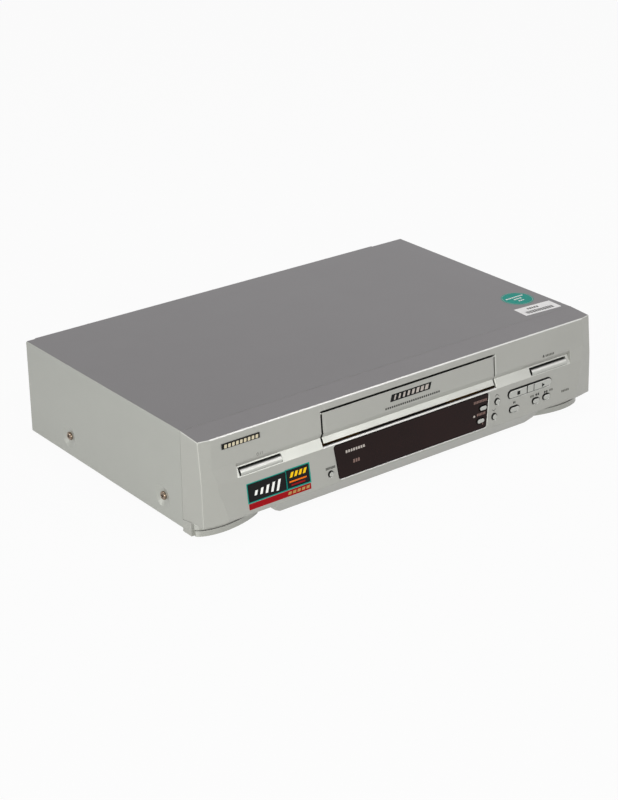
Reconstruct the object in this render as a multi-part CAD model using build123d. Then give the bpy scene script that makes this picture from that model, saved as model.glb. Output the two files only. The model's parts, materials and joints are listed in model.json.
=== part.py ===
from build123d import *
import os
from math import atan2, cos, degrees, hypot, pi, radians, sin

os.makedirs("parts", exist_ok=True)

# A front-loading VHS cassette recorder. Millimetres. +X is to the right seen from the front,
# the front faces -Y, +Z is up, and the feet stand on z = 0.

# Case
WIDTH = 430.0
HEIGHT = 88.0
HALF = 214.7                 # half width of the cover and the fascia
SHEET = 0.8                  # steel of the cover
FRONT_Y = -130.0             # top front edge of the fascia
SEAM_Y = -105.0              # where the fascia ends and the cover begins
COVER_Y = 131.7              # rear edge of the cover
COVER_REAR_Y = 133.0         # rear edge of its turned-down middle flange
REAR_REACH_Y = 138.0         # end of the aerial sockets
COVER_LOW_Z = 2.8

# Fascia section, from the top front edge down
EDGE_Z = 86.1
BROW = (FRONT_Y - 2.4, 60.6)       # lower edge of the upper face, which tucks under from there
BAND_TOP = (FRONT_Y - 0.5, 56.3)   # end of the tuck and upper edge of the slanted band
BAND_LOW = (FRONT_Y - 4.6, 48.2)   # foot of the slanted band
BROW_SOFT = 0.6                    # width of the brow's softened edge to either side
LIP = (FRONT_Y - 8.0, 15.6)        # foremost line of the whole recorder
CHIN_TOP = (FRONT_Y - 7.4, 14.0)
CHIN_LOW = (FRONT_Y - 0.2, 3.0)
WALL = 2.2
UNDER = ((FRONT_Y - 3.0, 13.2), (FRONT_Y + 10.0, 12.7), (SEAM_Y, 10.2))    # underside over the feet
CHIN_HALF = 137.0
BAND_X = (-181.5, 187.2)           # both ends of the tuck and the band

# Cheeks: the front turns back towards each side on two leaning planes, one for the upper face and
# one for the lower face. Each is Y at the side at a height, that height, its lean and its turn.
CHEEK_PLANES = ((FRONT_Y + 2.05, EDGE_Z, 0.110, 0.17), (FRONT_Y - 1.8, 50.0, 0.038, 0.22))

# Cassette door
DECK_X = 1.3                 # centre line of the cassette and the deck
DOOR_HALF = 94.6
DOOR_TOP_Z = 78.1
DOOR_LOW_Z = 51.6
DOOR_GAP = 1.6
DOOR_TOP_GAP = 1.4
DOOR_THICK = 2.0
EDGE_BREAK = 0.6             # width of the broken edge round the opening
DOOR_PIN_R = 0.9
DOOR_SOFT = (3.0, 0.5)       # width and depth of the softened ends of the flap
DOOR_PIVOT = (FRONT_Y + 0.9, 77.2)
SLOT_LOW_Z = 49.0

# Display window: left and right ends of its opening, and height, at the top and at the foot
WINDOW_TOP = (-84.9, 88.3, 47.4)
WINDOW_LOW = (-80.9, 83.4, 16.7)
WINDOW_R = 2.4
WINDOW_GAP = 0.6
WINDOW_SUNK = 0.2            # how far the plate lies behind the face

# Buttons: centre X and Z, travel of every button
TRAVEL = 1.2
GAP = 0.8
PROUD = 1.1
CAP_SOFT = 0.5                # rounding of the caps' rims
RIM_BREAK = 0.4               # broken edge round the window and the button holes
SWITCH_Y = FRONT_Y + 5.7     # front of the switch plungers
BOARD_Y = FRONT_Y + 10.0     # front of the operation board

# Cassette: the standard shell that the bay is made for
CASSETTE = (188.0, 104.0, 25.0)
READY_Z = 49.2               # underside of the cassette before it goes down
CARRY_BACK = 62.0
CARRY_DOWN = 22.8
REEL_SPACING = 92.0
REEL_Y = -56.0

# Deck heights
PAN_Z = 4.0
DECK_Z = 18.0
DECK_TOP = 19.2
DECK_FRONT_Y = -103.0
DRUM_Y = 38.0
DRUM_R = 31.0
DRUM_TILT = 5.9
LOAD_Y = 22.0                # common axis of the two loading arms
ARM_R = 50.0
CAPSTAN = (DECK_X + 66.0, 4.0)
PINCH_PIVOT = (DECK_X + 92.0, 34.0)
TENSION_PIVOT = (DECK_X - 84.0, 26.0)
IDLER_PIVOT = (DECK_X, -30.0)
RUN = 0.05                   # radial running clearance

NODES = {}


# ------------------------------------------------------------------ shared shapes

def block(x0, x1, y0, y1, z0, z1):
    """A box between two corners."""
    centre = Pos((x0 + x1) / 2, (y0 + y1) / 2, (z0 + z1) / 2)
    return centre * Box(abs(x1 - x0), abs(y1 - y0), abs(z1 - z0))


def post(x, y, z0, z1, r):
    """A round post along Z."""
    return Pos(x, y, (z0 + z1) / 2) * Cylinder(r, z1 - z0)


def rod_x(x0, x1, y, z, r):
    """A round rod along X."""
    return Pos((x0 + x1) / 2, y, z) * Rot(0, 90, 0) * Cylinder(r, abs(x1 - x0))


def rod_y(x, y0, y1, z, r):
    """A round rod along Y."""
    return Pos(x, (y0 + y1) / 2, z) * Rot(90, 0, 0) * Cylinder(r, abs(y1 - y0))


def along_x(points, x0, x1):
    """A YZ outline carried from x0 to x1."""
    face = Plane.YZ.offset(x0) * make_face(Polyline(*points, close=True))
    return extrude(face, amount=x1 - x0, dir=(1, 0, 0))


def along_y(sketch, x, z, y0, y1):
    """A sketch seen from the front, set at (x, z) and carried from y0 back to y1."""
    plane = Plane(origin=(x, y0, z), x_dir=(1, 0, 0), z_dir=(0, -1, 0))
    return extrude(plane * sketch, amount=y1 - y0, dir=(0, 1, 0))


def along_z(points, z0, z1):
    """An XY outline carried from z0 to z1."""
    return extrude(Pos(0, 0, z0) * make_face(Polyline(*points, close=True)), amount=z1 - z0)


def both_sides(shape):
    """A shape and its mirror image across the recorder's centre plane."""
    return shape + mirror(shape, about=Plane.YZ)


def gear(x, y, z0, z1, teeth, module, first_tooth, bore_r):
    """A spur gear with straight-flanked teeth and one tooth centred on the angle first_tooth."""
    pitch_r = teeth * module / 2
    root_r = pitch_r - 1.2 * module
    tip_r = pitch_r + 0.85 * module
    step = 360 / teeth
    outline = []
    for number in range(teeth):
        middle = first_tooth + number * step
        for radius, part in ((root_r, -0.33), (tip_r, -0.13), (tip_r, 0.13), (root_r, 0.33)):
            angle = radians(middle + part * step)
            outline.append((x + radius * cos(angle), y + radius * sin(angle)))
    return along_z(outline, z0, z1) - post(x, y, z0 - 1, z1 + 1, bore_r)


def keep(name, shape):
    """Writes one node's STEP file."""
    shape.label = name
    NODES[name] = shape
    export_step(shape, f"parts/{name}.step")


# ------------------------------------------------------------------ the fascia and its surface

def face_y(z):
    """Y of the fascia's front surface at height z, below the foot of the band."""
    slope = (LIP[0] - BAND_LOW[0]) / (BAND_LOW[1] - LIP[1])
    return BAND_LOW[0] + (BAND_LOW[1] - z) * slope


def band_y(z):
    """Y of the slanted band at height z."""
    share = (BAND_TOP[1] - z) / (BAND_TOP[1] - BAND_LOW[1])
    return BAND_TOP[0] + share * (BAND_LOW[0] - BAND_TOP[0])


def brow_y(z):
    """Y of the upper face at height z."""
    return FRONT_Y + (EDGE_Z - z) / (EDGE_Z - BROW[1]) * (BROW[0] - FRONT_Y)


def brow_corner():
    """The two ends of the narrow facet that softens the brow: on the upper face and on the tuck."""
    back, down = BAND_TOP[0] - BROW[0], BROW[1] - BAND_TOP[1]
    share = BROW_SOFT / hypot(back, down)
    return [(brow_y(BROW[1] + BROW_SOFT), BROW[1] + BROW_SOFT),
            (BROW[0] + share * back, BROW[1] - share * down)]


def cheek_cutter(setback):
    """Everything in front of the right-hand cheek, moved back by setback."""
    reach = 60.0
    cutter = Part()
    for y, z, lean, turn in CHEEK_PLANES:
        at_side = y - lean * z + setback
        inner = (HALF - reach, at_side - turn * reach)
        outer = (HALF + 5, at_side + turn * 5)
        face = make_face(Polyline(inner, outer, (outer[0], -200), (inner[0], -200), close=True))
        cutter += extrude(face, amount=120, dir=(0, lean, 1))
    return cutter


def window_sketch(grow):
    """The outline of the window's opening, grown all round: a trapezoid with round corners."""
    left, right, top = WINDOW_TOP
    low_left, low_right, low = WINDOW_LOW
    corners = [(left - grow, top + grow), (right + grow, top + grow),
               (low_right + grow, low - grow), (low_left - grow, low - grow)]
    face = Sketch() + make_face(Polyline(*corners, close=True))
    return fillet(face.vertices(), WINDOW_R + grow)


def pill_part(side, middle, inset):
    """The part of the stop and play pill on one side of its split, about (middle, 0).

    It is inset all round, and the two parts stay PILL_PART_GAP from each other.
    """
    reach = PILL_ENDS[1] - PILL_ENDS[0]
    edge = PILL_SPLIT + side * PILL_PART_GAP / 2
    whole = Pos(PILL_X - middle, 0) * offset(PILL, -inset)
    return whole & Pos(edge + side * reach / 2 - middle, 0) * Rectangle(reach, reach)


# Buttons that come through the lower face: X, Z, outline
PILL_ENDS = (109.8, 163.0)
PILL_SPLIT = 132.6                   # where the stop key ends and the play key begins
PILL_PART_GAP = 1.0
PILL_GROOVE_X = 140.6
PILL_Z = 38.6
PILL_HEIGHT = 8.4
PILL_X = (PILL_ENDS[0] + PILL_ENDS[1]) / 2
PILL = SlotOverall(PILL_ENDS[1] - PILL_ENDS[0], PILL_HEIGHT)
PILL_KEYS = {"stop_button": (121.0, -1), "play_button": (148.2, 1)}    # middle X and side of each
FACE_BUTTONS = {
    "link_button": (-89.3, 24.4, Circle(2.9)),
    "channel_up_button": (97.1, 36.6, Circle(3.2)),
    "channel_down_button": (92.9, 23.9, Circle(3.2)),
    "pause_button": (116.9, 24.4, SlotOverall(12.4, 6.0)),
    "rewind_button": (143.1, 25.0, SlotOverall(9.3, 6.0)),
    "fast_forward_button": (156.1, 25.4, SlotOverall(9.3, 6.0)),
}
# Buttons that come through the display window
WINDOW_BUTTONS = {
    "timer_button": (80.0, 35.5, SlotOverall(9.4, 5.4)),
    "record_button": (76.5, 24.6, SlotOverall(9.4, 5.4)),
}
# Bar buttons in the band: X of both ends of their holes
BAR_BUTTONS = {"power_button": (-179.0, -136.2), "eject_button": (138.9, 183.3)}
BAR_HOLE_Z = (48.9, 55.4)
BAR_Z = (49.4, 54.2)
BAR_GAP = 1.0                        # at both ends of a bar


def fascia_blank():
    """The closed outer form of the fascia."""
    outline = [(SEAM_Y, HEIGHT), (FRONT_Y + 0.9, EDGE_Z + 0.2), (FRONT_Y, EDGE_Z - 0.7), BROW,
               BAND_LOW, LIP, CHIN_TOP, *UNDER]
    blank = along_x(outline, -HALF, HALF) - both_sides(cheek_cutter(0))
    uprights = [edge for edge in blank.edges().filter_by(GeomType.LINE)
                if abs(edge.center().X) > HALF - 0.01 and edge.length > 30
                and edge.center().Y < FRONT_Y + 6]
    blank = fillet(uprights, 1.2)
    shoulders = [edge for edge in blank.edges().filter_by(GeomType.LINE)
                 if abs(edge.center().X) > HALF - 0.01 and edge.length > 15
                 and edge.center().Z > 80]
    return fillet(shoulders, 1.2)


def fascia_hollow():
    """The space inside the fascia's wall."""
    outline = [(SEAM_Y + 1, HEIGHT - WALL), (FRONT_Y + 2.9, EDGE_Z - 2.0), (FRONT_Y + WALL, EDGE_Z - 3.0),
               (BROW[0] + WALL, BROW[1] + 1.0), (BAND_TOP[0] + WALL, BAND_TOP[1] + 0.4),
               (BAND_TOP[0] + WALL, BAND_TOP[1] - 1.2),
               (BAND_LOW[0] + WALL, BAND_LOW[1] + 0.2), (LIP[0] + WALL, LIP[1] + 0.2),
               (CHIN_TOP[0] + WALL, CHIN_TOP[1] + 0.7), (UNDER[0][0] + 1.4, UNDER[0][1] + WALL),
               (UNDER[1][0], UNDER[1][1] + WALL), (SEAM_Y + 1, UNDER[2][1] + WALL)]
    inside = HALF - WALL
    return along_x(outline, -inside, inside) - both_sides(cheek_cutter(WALL * 1.05))


def chin():
    """The lip under the middle of the fascia that slants back to the underside, and its hollow."""
    rise = 1.0                       # how far the chin reaches into the fascia's bottom wall
    over = [(y, z + rise) for y, z in reversed(UNDER)]
    outer = [CHIN_TOP, CHIN_LOW, (SEAM_Y, CHIN_LOW[1]), *over]
    inner = [(CHIN_TOP[0] + 3.2, CHIN_TOP[1] + 2), (FRONT_Y + 1.2, CHIN_LOW[1] + WALL),
             (SEAM_Y + 1, CHIN_LOW[1] + WALL), (SEAM_Y + 1, CHIN_TOP[1] + 2)]
    body = along_x(outer, -CHIN_HALF, CHIN_HALF)
    near, far = CHIN_HALF - 1, CHIN_HALF + 9
    ramp = make_face(Polyline((near, 20), (near, CHIN_LOW[1]), (CHIN_HALF, CHIN_LOW[1]),
                              (CHIN_HALF + 7, 7.2), (far, UNDER[1][1]), (far, 20), close=True))
    body += both_sides(along_x(outer, near, far) & along_y(ramp, 0, 0, FRONT_Y - 12, SEAM_Y))
    return body, along_x(inner, -CHIN_HALF + WALL, CHIN_HALF - WALL)


def corner_foot():
    """The right-hand moulded front foot: a thin bowed sole, a set-back waist and a plain flank.

    A slot at the corner parts the sole from the flank.
    """
    side = WIDTH / 2
    sole_z, flank_y = 5.0, FRONT_Y + 13.2

    def outline(back):
        bow = Spline((150, FRONT_Y + 12.8 + back), (165.5, FRONT_Y + 6.9 + back),
                     (178, FRONT_Y + 4.4 + back), (191, FRONT_Y + 3.7 + back),
                     (204 - back * 0.3, FRONT_Y + 5.9 + back),
                     (210.4 - back * 0.6, FRONT_Y + 8.8 + back * 0.8),
                     (213.6 - back * 0.9, FRONT_Y + 12.0 + back * 0.5),
                     (side - 0.2 - back, FRONT_Y + 18.0))
        rear = Polyline((side - 0.2 - back, FRONT_Y + 18.0), (side - 0.2 - back, SEAM_Y), (150, SEAM_Y),
                        (150, FRONT_Y + 12.8 + back))
        return make_face([bow, *rear.edges()])
    sole = extrude(outline(0), amount=sole_z)
    waist = extrude(Pos(0, 0, sole_z - 0.5) * outline(1.6), amount=UNDER[1][1] - sole_z + 1.0)
    flank = along_x([(flank_y, 0), (SEAM_Y, 0), (SEAM_Y, UNDER[2][1] + 0.2), (flank_y, UNDER[1][1] - 0.2)],
                    side - 6, side)
    slot = block(side - 2.6, side + 1, flank_y - 2.4, flank_y, -1, sole_z)
    return sole + waist + flank - slot


def button_holes():
    """Every opening for a button in the fascia."""
    holes = Part()
    for x, z, outline in (*FACE_BUTTONS.values(), (PILL_X, PILL_Z, PILL)):
        holes += along_y(outline, x, z, FRONT_Y - 12, FRONT_Y + 2)
    for left, right in BAR_BUTTONS.values():
        holes += block(left, right, FRONT_Y - 12, FRONT_Y + 4, *BAR_HOLE_Z)
    return holes


def hinge_bosses():
    """Blocks behind the fascia that hold the two ends of the door's hinge pin."""
    bosses = Part()
    for side in (-1, 1):
        inner = DECK_X + side * (DOOR_HALF + DOOR_GAP)
        bosses += block(inner, inner + side * 5, FRONT_Y + 0.4, FRONT_Y + 6, 72.5, 82.5)
    return bosses


def lean_cut(x, side, low, high, wide, deep):
    """A wedge that breaks an upright edge at x: wide along side, deep into the surface.

    low and high are (Y, Z) points of the surface that the edge runs between.
    """
    y, z = low
    points = [(x, y + deep), (x + side * wide * 2, y - deep), (x - side * 0.01, y - deep)]
    face = make_face(Polyline(*points, close=True))
    run = (0, high[0] - y, high[1] - z)
    return extrude(Pos(0, 0, z) * face, amount=hypot(run[1], run[2]), dir=run)


def door_opening():
    """The opening for the cassette door, with all its front edges broken."""
    half = DOOR_HALF + DOOR_GAP
    top = DOOR_TOP_Z + DOOR_TOP_GAP
    opening = block(DECK_X - half, DECK_X + half, FRONT_Y - 12, FRONT_Y + 3.6, SLOT_LOW_Z, top)
    for side in (-1, 1):
        edge = DECK_X + side * half
        for low, high in ((BROW, (brow_y(top), top)), (BAND_TOP, BROW),
                          ((band_y(SLOT_LOW_Z), SLOT_LOW_Z), BAND_TOP)):
            opening += lean_cut(edge, side, low, high, EDGE_BREAK, EDGE_BREAK)
    for z, up in ((top, 1), (SLOT_LOW_Z, -1)):
        y = brow_y(z) if up > 0 else band_y(z)
        points = [(y + EDGE_BREAK, z - up * 0.01), (y - EDGE_BREAK, z - up * 0.01),
                  (y - EDGE_BREAK, z + up * EDGE_BREAK * 2)]
        opening += along_x(points, DECK_X - half, DECK_X + half)
    return opening


def break_rims(panel, width):
    """Breaks the front edges of the window's opening and of the button holes in the lower face."""
    def on_lower_face(edge):
        middle = edge.center()
        return BAND_X[0] < middle.X and LIP[1] + 0.5 < middle.Z < BAND_LOW[1] - 0.4 \
            and abs(middle.Y - face_y(middle.Z)) < 0.05 and edge.bounding_box().max.Z < BAND_LOW[1] - 0.4
    rims = [edge for edge in panel.edges() if on_lower_face(edge) and abs(edge.center().X) < 175]
    return chamfer(rims, width)


def front_panel():
    middle, middle_hollow = chin()
    brow = brow_corner()
    recess = [(FRONT_Y - 9, brow[0][1]), *brow, BAND_TOP, BAND_LOW, (FRONT_Y - 9, BAND_LOW[1])]
    shell = fascia_blank() - fascia_hollow() - along_x(recess, *BAND_X)
    shell -= along_y(window_sketch(0), 0, 0, FRONT_Y - 12, FRONT_Y + 2)
    shell -= button_holes()
    shell = break_rims(shell, RIM_BREAK)
    panel = shell + (middle - middle_hollow) + both_sides(corner_foot())
    panel += hinge_bosses()
    lip_z = HEIGHT - SHEET - 0.3
    panel += block(-HALF + 3, HALF - 3, SEAM_Y - 2, SEAM_Y + 6, lip_z - 1.2, lip_z)
    panel += both_sides(block(HALF - 2.4, HALF - 1.2, SEAM_Y - 2, SEAM_Y + 6, 14, lip_z - 2))
    for x in (-90, 0, 90):
        panel += block(x - 6, x + 6, SEAM_Y - 3, SEAM_Y + 8, PAN_Z + 1.0, PAN_Z + 2.2)
    panel -= door_opening()
    reach = DOOR_HALF + DOOR_GAP + 3
    return panel - rod_x(DECK_X - reach, DECK_X + reach, *DOOR_PIVOT, DOOR_PIN_R + RUN)


def display_window():
    """The smoked plate, a little behind the lower face, with a flange behind the fascia wall."""
    def slab(near, far):
        top, low = 60, 5
        return along_x([(face_y(top) + near, top), (face_y(low) + near, low),
                        (face_y(low) + far, low), (face_y(top) + far, top)], -150, 150)
    back = WALL + 1.3
    plate = along_y(window_sketch(-WINDOW_GAP), 0, 0, FRONT_Y - 12, FRONT_Y + 4) & slab(WINDOW_SUNK, back)
    flange = along_y(window_sketch(0.8), 0, 0, FRONT_Y - 12, FRONT_Y + 4) & slab(WALL + 0.3, back)
    window = plate + flange
    for x, z, outline in WINDOW_BUTTONS.values():
        window -= along_y(outline, x, z, FRONT_Y - 12, FRONT_Y + 6)
    return window


def badge_plate():
    """A blank plate on the upper face, at its left."""
    low, high = 75.4, 80.0
    depth = 0.9
    outline = [(brow_y(high) - depth, high), (brow_y(low) - depth, low),
               (brow_y(low) - 0.01, low), (brow_y(high) - 0.01, high)]
    plate = along_x(outline, -193.5, -157.0)
    return fillet(plate.edges().filter_by(Axis.X).sort_by(Axis.Y)[:2], 0.4)


# ------------------------------------------------------------------ door and buttons

def cassette_door():
    """The flap: it follows the fascia's upper face, the tuck and the band."""
    outer = [(brow_y(DOOR_TOP_Z), DOOR_TOP_Z), *brow_corner(), BAND_TOP, (band_y(DOOR_LOW_Z), DOOR_LOW_Z),
             (band_y(DOOR_LOW_Z) + 1.6, DOOR_LOW_Z), (BAND_TOP[0] + 1.6, BAND_TOP[1] - 0.5),
             (BROW[0] + DOOR_THICK, BROW[1] + 1.0), (brow_y(DOOR_TOP_Z) + DOOR_THICK, DOOR_TOP_Z)]
    door = along_x(outer, DECK_X - DOOR_HALF, DECK_X + DOOR_HALF)
    for side in (-1, 1):
        edge = DECK_X + side * DOOR_HALF
        top = (brow_y(DOOR_TOP_Z + 1), DOOR_TOP_Z + 1)
        door -= lean_cut(edge, -side, BROW, top, DOOR_SOFT[0], DOOR_SOFT[1])
        door -= lean_cut(edge, -side, (band_y(DOOR_LOW_Z - 1), DOOR_LOW_Z - 1), BAND_TOP, 0.5, 0.5)
    reach = DOOR_HALF + DOOR_GAP + 2.6
    door += rod_x(DECK_X - reach, DECK_X + reach, *DOOR_PIVOT, DOOR_PIN_R)
    for side in (-1, 1):
        edge = DECK_X + side * DOOR_HALF
        rib = [(FRONT_Y, 62.0), (FRONT_Y + 3.4, 64.0), (FRONT_Y + 3.4, 74.5), (FRONT_Y, 76.5)]
        door += along_x(rib, min(edge, edge - side * 1.6), max(edge, edge - side * 1.6))
    return door


def door_spring():
    """The torsion spring that shuts the flap: coils round a stub on its inner face, and one leg."""
    wire, coil_r, turns = 0.35, 1.5, 5
    x0 = DECK_X - DOOR_HALF + 6
    y, z = FRONT_Y + 4.4, 70.0
    path = Helix(pitch=0.9, height=0.9 * turns, radius=coil_r)
    section = Plane(origin=path @ 0, z_dir=path % 0) * Circle(wire)
    coil = Pos(x0, y, z) * Rot(0, 90, 0) * sweep(section, path=path, is_frenet=True)
    return coil


def spring_stub():
    """The stub on the flap that carries the torsion spring."""
    x0 = DECK_X - DOOR_HALF + 4.6
    stub = rod_x(x0, x0 + 7.0, FRONT_Y + 4.4, 70.0, 1.0)
    ear = block(x0 - 0.6, x0 + 0.6, FRONT_Y - 1.0, FRONT_Y + 5.6, 68.6, 71.4)
    return stub + ear


def plunger(x, z, flange_sketch, flange_y):
    """What every button has behind its cap: a keeper flange and a stem to the switch."""
    flange = along_y(flange_sketch, x, z, flange_y, flange_y + 1.0)
    stem = rod_y(x, flange_y, SWITCH_Y - TRAVEL - 0.2, z, 1.3)
    return flange + stem


def face_button(x, z, cap_outline, keeper_outline, wall):
    """A cap that stands a little proud of the lower face, with softened edges.

    The keeper is the flange behind the wall that holds it in; wall is the thickness it goes through.
    """
    front = face_y(z) - PROUD
    flange_y = face_y(z) + wall + 1.0
    cap = along_y(cap_outline, x, z, front, flange_y + 0.5)
    rim = cap.faces().sort_by(Axis.Y)[0].edges()
    cap = fillet(rim, CAP_SOFT)
    return cap + plunger(x, z, keeper_outline, flange_y)


def hole_button(x, z, outline, wall=WALL):
    """A button for a hole of that outline."""
    return face_button(x, z, offset(outline, -GAP), offset(outline, 0.7), wall)


def pill_button(name):
    """The stop key or the play key, which share one hole."""
    middle, side = PILL_KEYS[name]
    return face_button(middle, PILL_Z, pill_part(side, middle, GAP), pill_part(side, middle, -0.7), WALL)


def play_button():
    """The right part of the pill, with a fine groove across its inner end."""
    front = face_y(PILL_Z) - PROUD
    groove = block(PILL_GROOVE_X - 0.4, PILL_GROOVE_X + 0.4, front - 2, front + 0.8,
                   PILL_Z - PILL_HEIGHT, PILL_Z + PILL_HEIGHT)
    return pill_button("play_button") - groove


def bar_button(hole_left, hole_right):
    """A long bar that lies in the band, with a rounded front."""
    left, right = hole_left + BAR_GAP, hole_right - BAR_GAP
    low, high = BAR_Z
    back = FRONT_Y + 3.4
    nose = ThreePointArc((band_y(high) + 0.5, high), (BAND_LOW[0] + 0.4, (low + high) / 2 + 0.4),
                         (BAND_LOW[0] - 0.1, low))
    rest = Polyline((BAND_LOW[0] - 0.1, low), (back, low), (back, high), (band_y(high) + 0.5, high))
    face = Plane.YZ.offset(left) * make_face([nose, *rest.edges()])
    bar = extrude(face, amount=right - left, dir=(1, 0, 0))
    middle_x, middle_z = (left + right) / 2, (low + high) / 2
    keeper = block(hole_left - 1, hole_right + 1, back - 0.5, back + 0.8, low - 1.6, BAR_HOLE_Z[1] + 1)
    stem = rod_y(middle_x, back, SWITCH_Y - TRAVEL - 0.2, middle_z, 1.3)
    return bar + keeper + stem


# ------------------------------------------------------------------ case

SIDE_SCREWS = ((-76.0, 20.0), (68.0, 20.0))          # Y and Z of the screws on each side
REAR_SCREW_X = (-150.0, -14.0, 120.0)
REAR_SCREW_Z = 84.0
PANEL_Y = 127.0                                      # outer face of the rear panel
PANEL_THICK = 1.5
PAN_HALF = 211.6


def side_cone(y, z, x0, x1, r0, r1):
    """A cone along X from radius r0 at x0 to r1 at x1, with x1 > x0."""
    return Pos((x0 + x1) / 2, y, z) * Rot(0, 90, 0) * Cone(r0, r1, x1 - x0)


def top_cover():
    front = SEAM_Y + 0.3
    cover = block(-HALF, HALF, front, COVER_Y, COVER_LOW_Z, HEIGHT)
    cover = fillet(cover.edges().filter_by(Axis.Y).sort_by(Axis.Z)[-2:], 1.6)
    inside = block(-HALF + SHEET, HALF - SHEET, front - 1, COVER_Y + 1, COVER_LOW_Z - 1, HEIGHT - SHEET)
    inside = fillet(inside.edges().filter_by(Axis.Y).sort_by(Axis.Z)[-2:], 0.8)
    cover -= inside
    left, right = -205.0, 177.0
    cover += block(left, right, COVER_Y - 0.5, COVER_REAR_Y, HEIGHT - SHEET, HEIGHT)
    cover += block(left, right, COVER_REAR_Y - SHEET, COVER_REAR_Y, HEIGHT - 8, HEIGHT)
    for y, z in SIDE_SCREWS:
        cup = side_cone(y, z, HALF - 2.6, HALF - SHEET + 0.1, 5.6, 11.2)
        dish = side_cone(y, z, HALF - 1.8, HALF + 0.1, 4.6, 10.4)
        hole = rod_x(HALF - 4, HALF + 1, y, z, 2.1)
        cover = cover + both_sides(cup) - both_sides(dish) - both_sides(hole)
    for x in REAR_SCREW_X:
        cover -= rod_y(x, COVER_REAR_Y - 3, COVER_REAR_Y + 1, REAR_SCREW_Z, 1.8)
    return cover


def floor_vents(x0, x1, y0, y1):
    """Rows of slots through the bottom of the pan."""
    slots = Part()
    count = int((y1 - y0) // 8)
    for number in range(count):
        y = y0 + 8 * number
        slots += block(x0, x1, y, y + 3, PAN_Z - 1, PAN_Z + 3)
    return slots


def bottom_pan():
    """A steel tray with turned-up edges, vents under the power supply, and stiffening ribs."""
    thick = 1.0
    front, rear = SEAM_Y + 1.5, PANEL_Y - PANEL_THICK
    pan = block(-PAN_HALF, PAN_HALF, front, rear, PAN_Z, PAN_Z + thick)
    pan += both_sides(block(PAN_HALF - thick, PAN_HALF, front, rear, PAN_Z, 30))
    pan += block(-PAN_HALF, PAN_HALF, rear - thick, rear, PAN_Z, 14)
    for x in (-120, -60, 60, 120):
        pan += block(x - 2, x + 2, front + 6, front + 30, PAN_Z + thick, PAN_Z + 1.9)
    pan -= floor_vents(-196, -166, -40, 90)
    pan -= floor_vents(-160, -130, -40, 90)
    pan -= floor_vents(150, 190, -80, -30)
    for y, z in SIDE_SCREWS:
        pan -= both_sides(rod_x(PAN_HALF - 3, PAN_HALF + 1, y, z, 1.55))
    return pan


def rubber_feet():
    """Two round pads under the rear corners, plugged into the pan."""
    feet = Part()
    for side in (-1, 1):
        pad = post(side * 180, 104, 0, PAN_Z, 9.0)
        pad = fillet(pad.edges().sort_by(Axis.Z)[0], 0.8)
        feet += pad
    return feet


def screw(axis_end, outwards):
    """A pan-head screw at axis_end, its head pointing along outwards, with a cross recess."""
    head = Pos(0, 0, 0.95) * Cylinder(3.7, 1.9)
    head = fillet(head.edges().sort_by(Axis.Z)[-1], 1.1)
    shank = Pos(0, 0, -3.4) * Cylinder(1.5, 7.0)
    recess = Pos(0, 0, 1.4) * (Box(3.6, 0.9, 1.2) + Box(0.9, 3.6, 1.2))
    return Plane(origin=axis_end, z_dir=outwards) * (head + shank - recess)


def cover_screws():
    screws = Part()
    seat = HALF - 1.8
    for y, z in SIDE_SCREWS:
        screws += screw((seat, y, z), (1, 0, 0))
        screws += screw((-seat, y, z), (-1, 0, 0))
    for x in REAR_SCREW_X:
        screws += screw((x, COVER_REAR_Y, REAR_SCREW_Z), (0, 1, 0))
    return screws


SCART_X = (-30.0, 30.0)
SCART_Z = 58.0
PHONO_X = (92.0, 108.0, 124.0)
PHONO_Z = 58.0
AERIAL_X = 165.0
AERIAL_Z = (36.0, 62.0)
CAN_BACK = 3.0                       # the tuner stands this far inside the panel's outer face
INLET = (-170.0, 30.0)


def rear_panel():
    panel = block(-210, 210, PANEL_Y - PANEL_THICK, PANEL_Y, 5.4, HEIGHT - SHEET - 0.4)
    for x in REAR_SCREW_X:
        lug = block(x - 5, x + 5, PANEL_Y - 0.5, COVER_REAR_Y - SHEET - 0.1, 79.5, 87.0)
        panel += lug - rod_y(x, PANEL_Y, COVER_REAR_Y, REAR_SCREW_Z, 1.55)
        panel -= rod_y(x, PANEL_Y - 3, PANEL_Y + 1, REAR_SCREW_Z, 1.55)
    for x in SCART_X:
        panel -= block(x - 24.5, x + 24.5, PANEL_Y - 4, PANEL_Y + 1, SCART_Z - 7.5, SCART_Z + 7.5)
    for x in PHONO_X:
        panel -= rod_y(x, PANEL_Y - 4, PANEL_Y + 1, PHONO_Z, 5.4)
    for z in AERIAL_Z:
        panel -= rod_y(AERIAL_X, PANEL_Y - 4, PANEL_Y + 1, z, 7.0)
    panel -= block(INLET[0] - 13, INLET[0] + 13, PANEL_Y - 4, PANEL_Y + 1, INLET[1] - 8, INLET[1] + 8)
    for number in range(12):
        x = -198 + 6.5 * number
        panel -= block(x, x + 3, PANEL_Y - 4, PANEL_Y + 1, 52, 74)
    return panel


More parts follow.
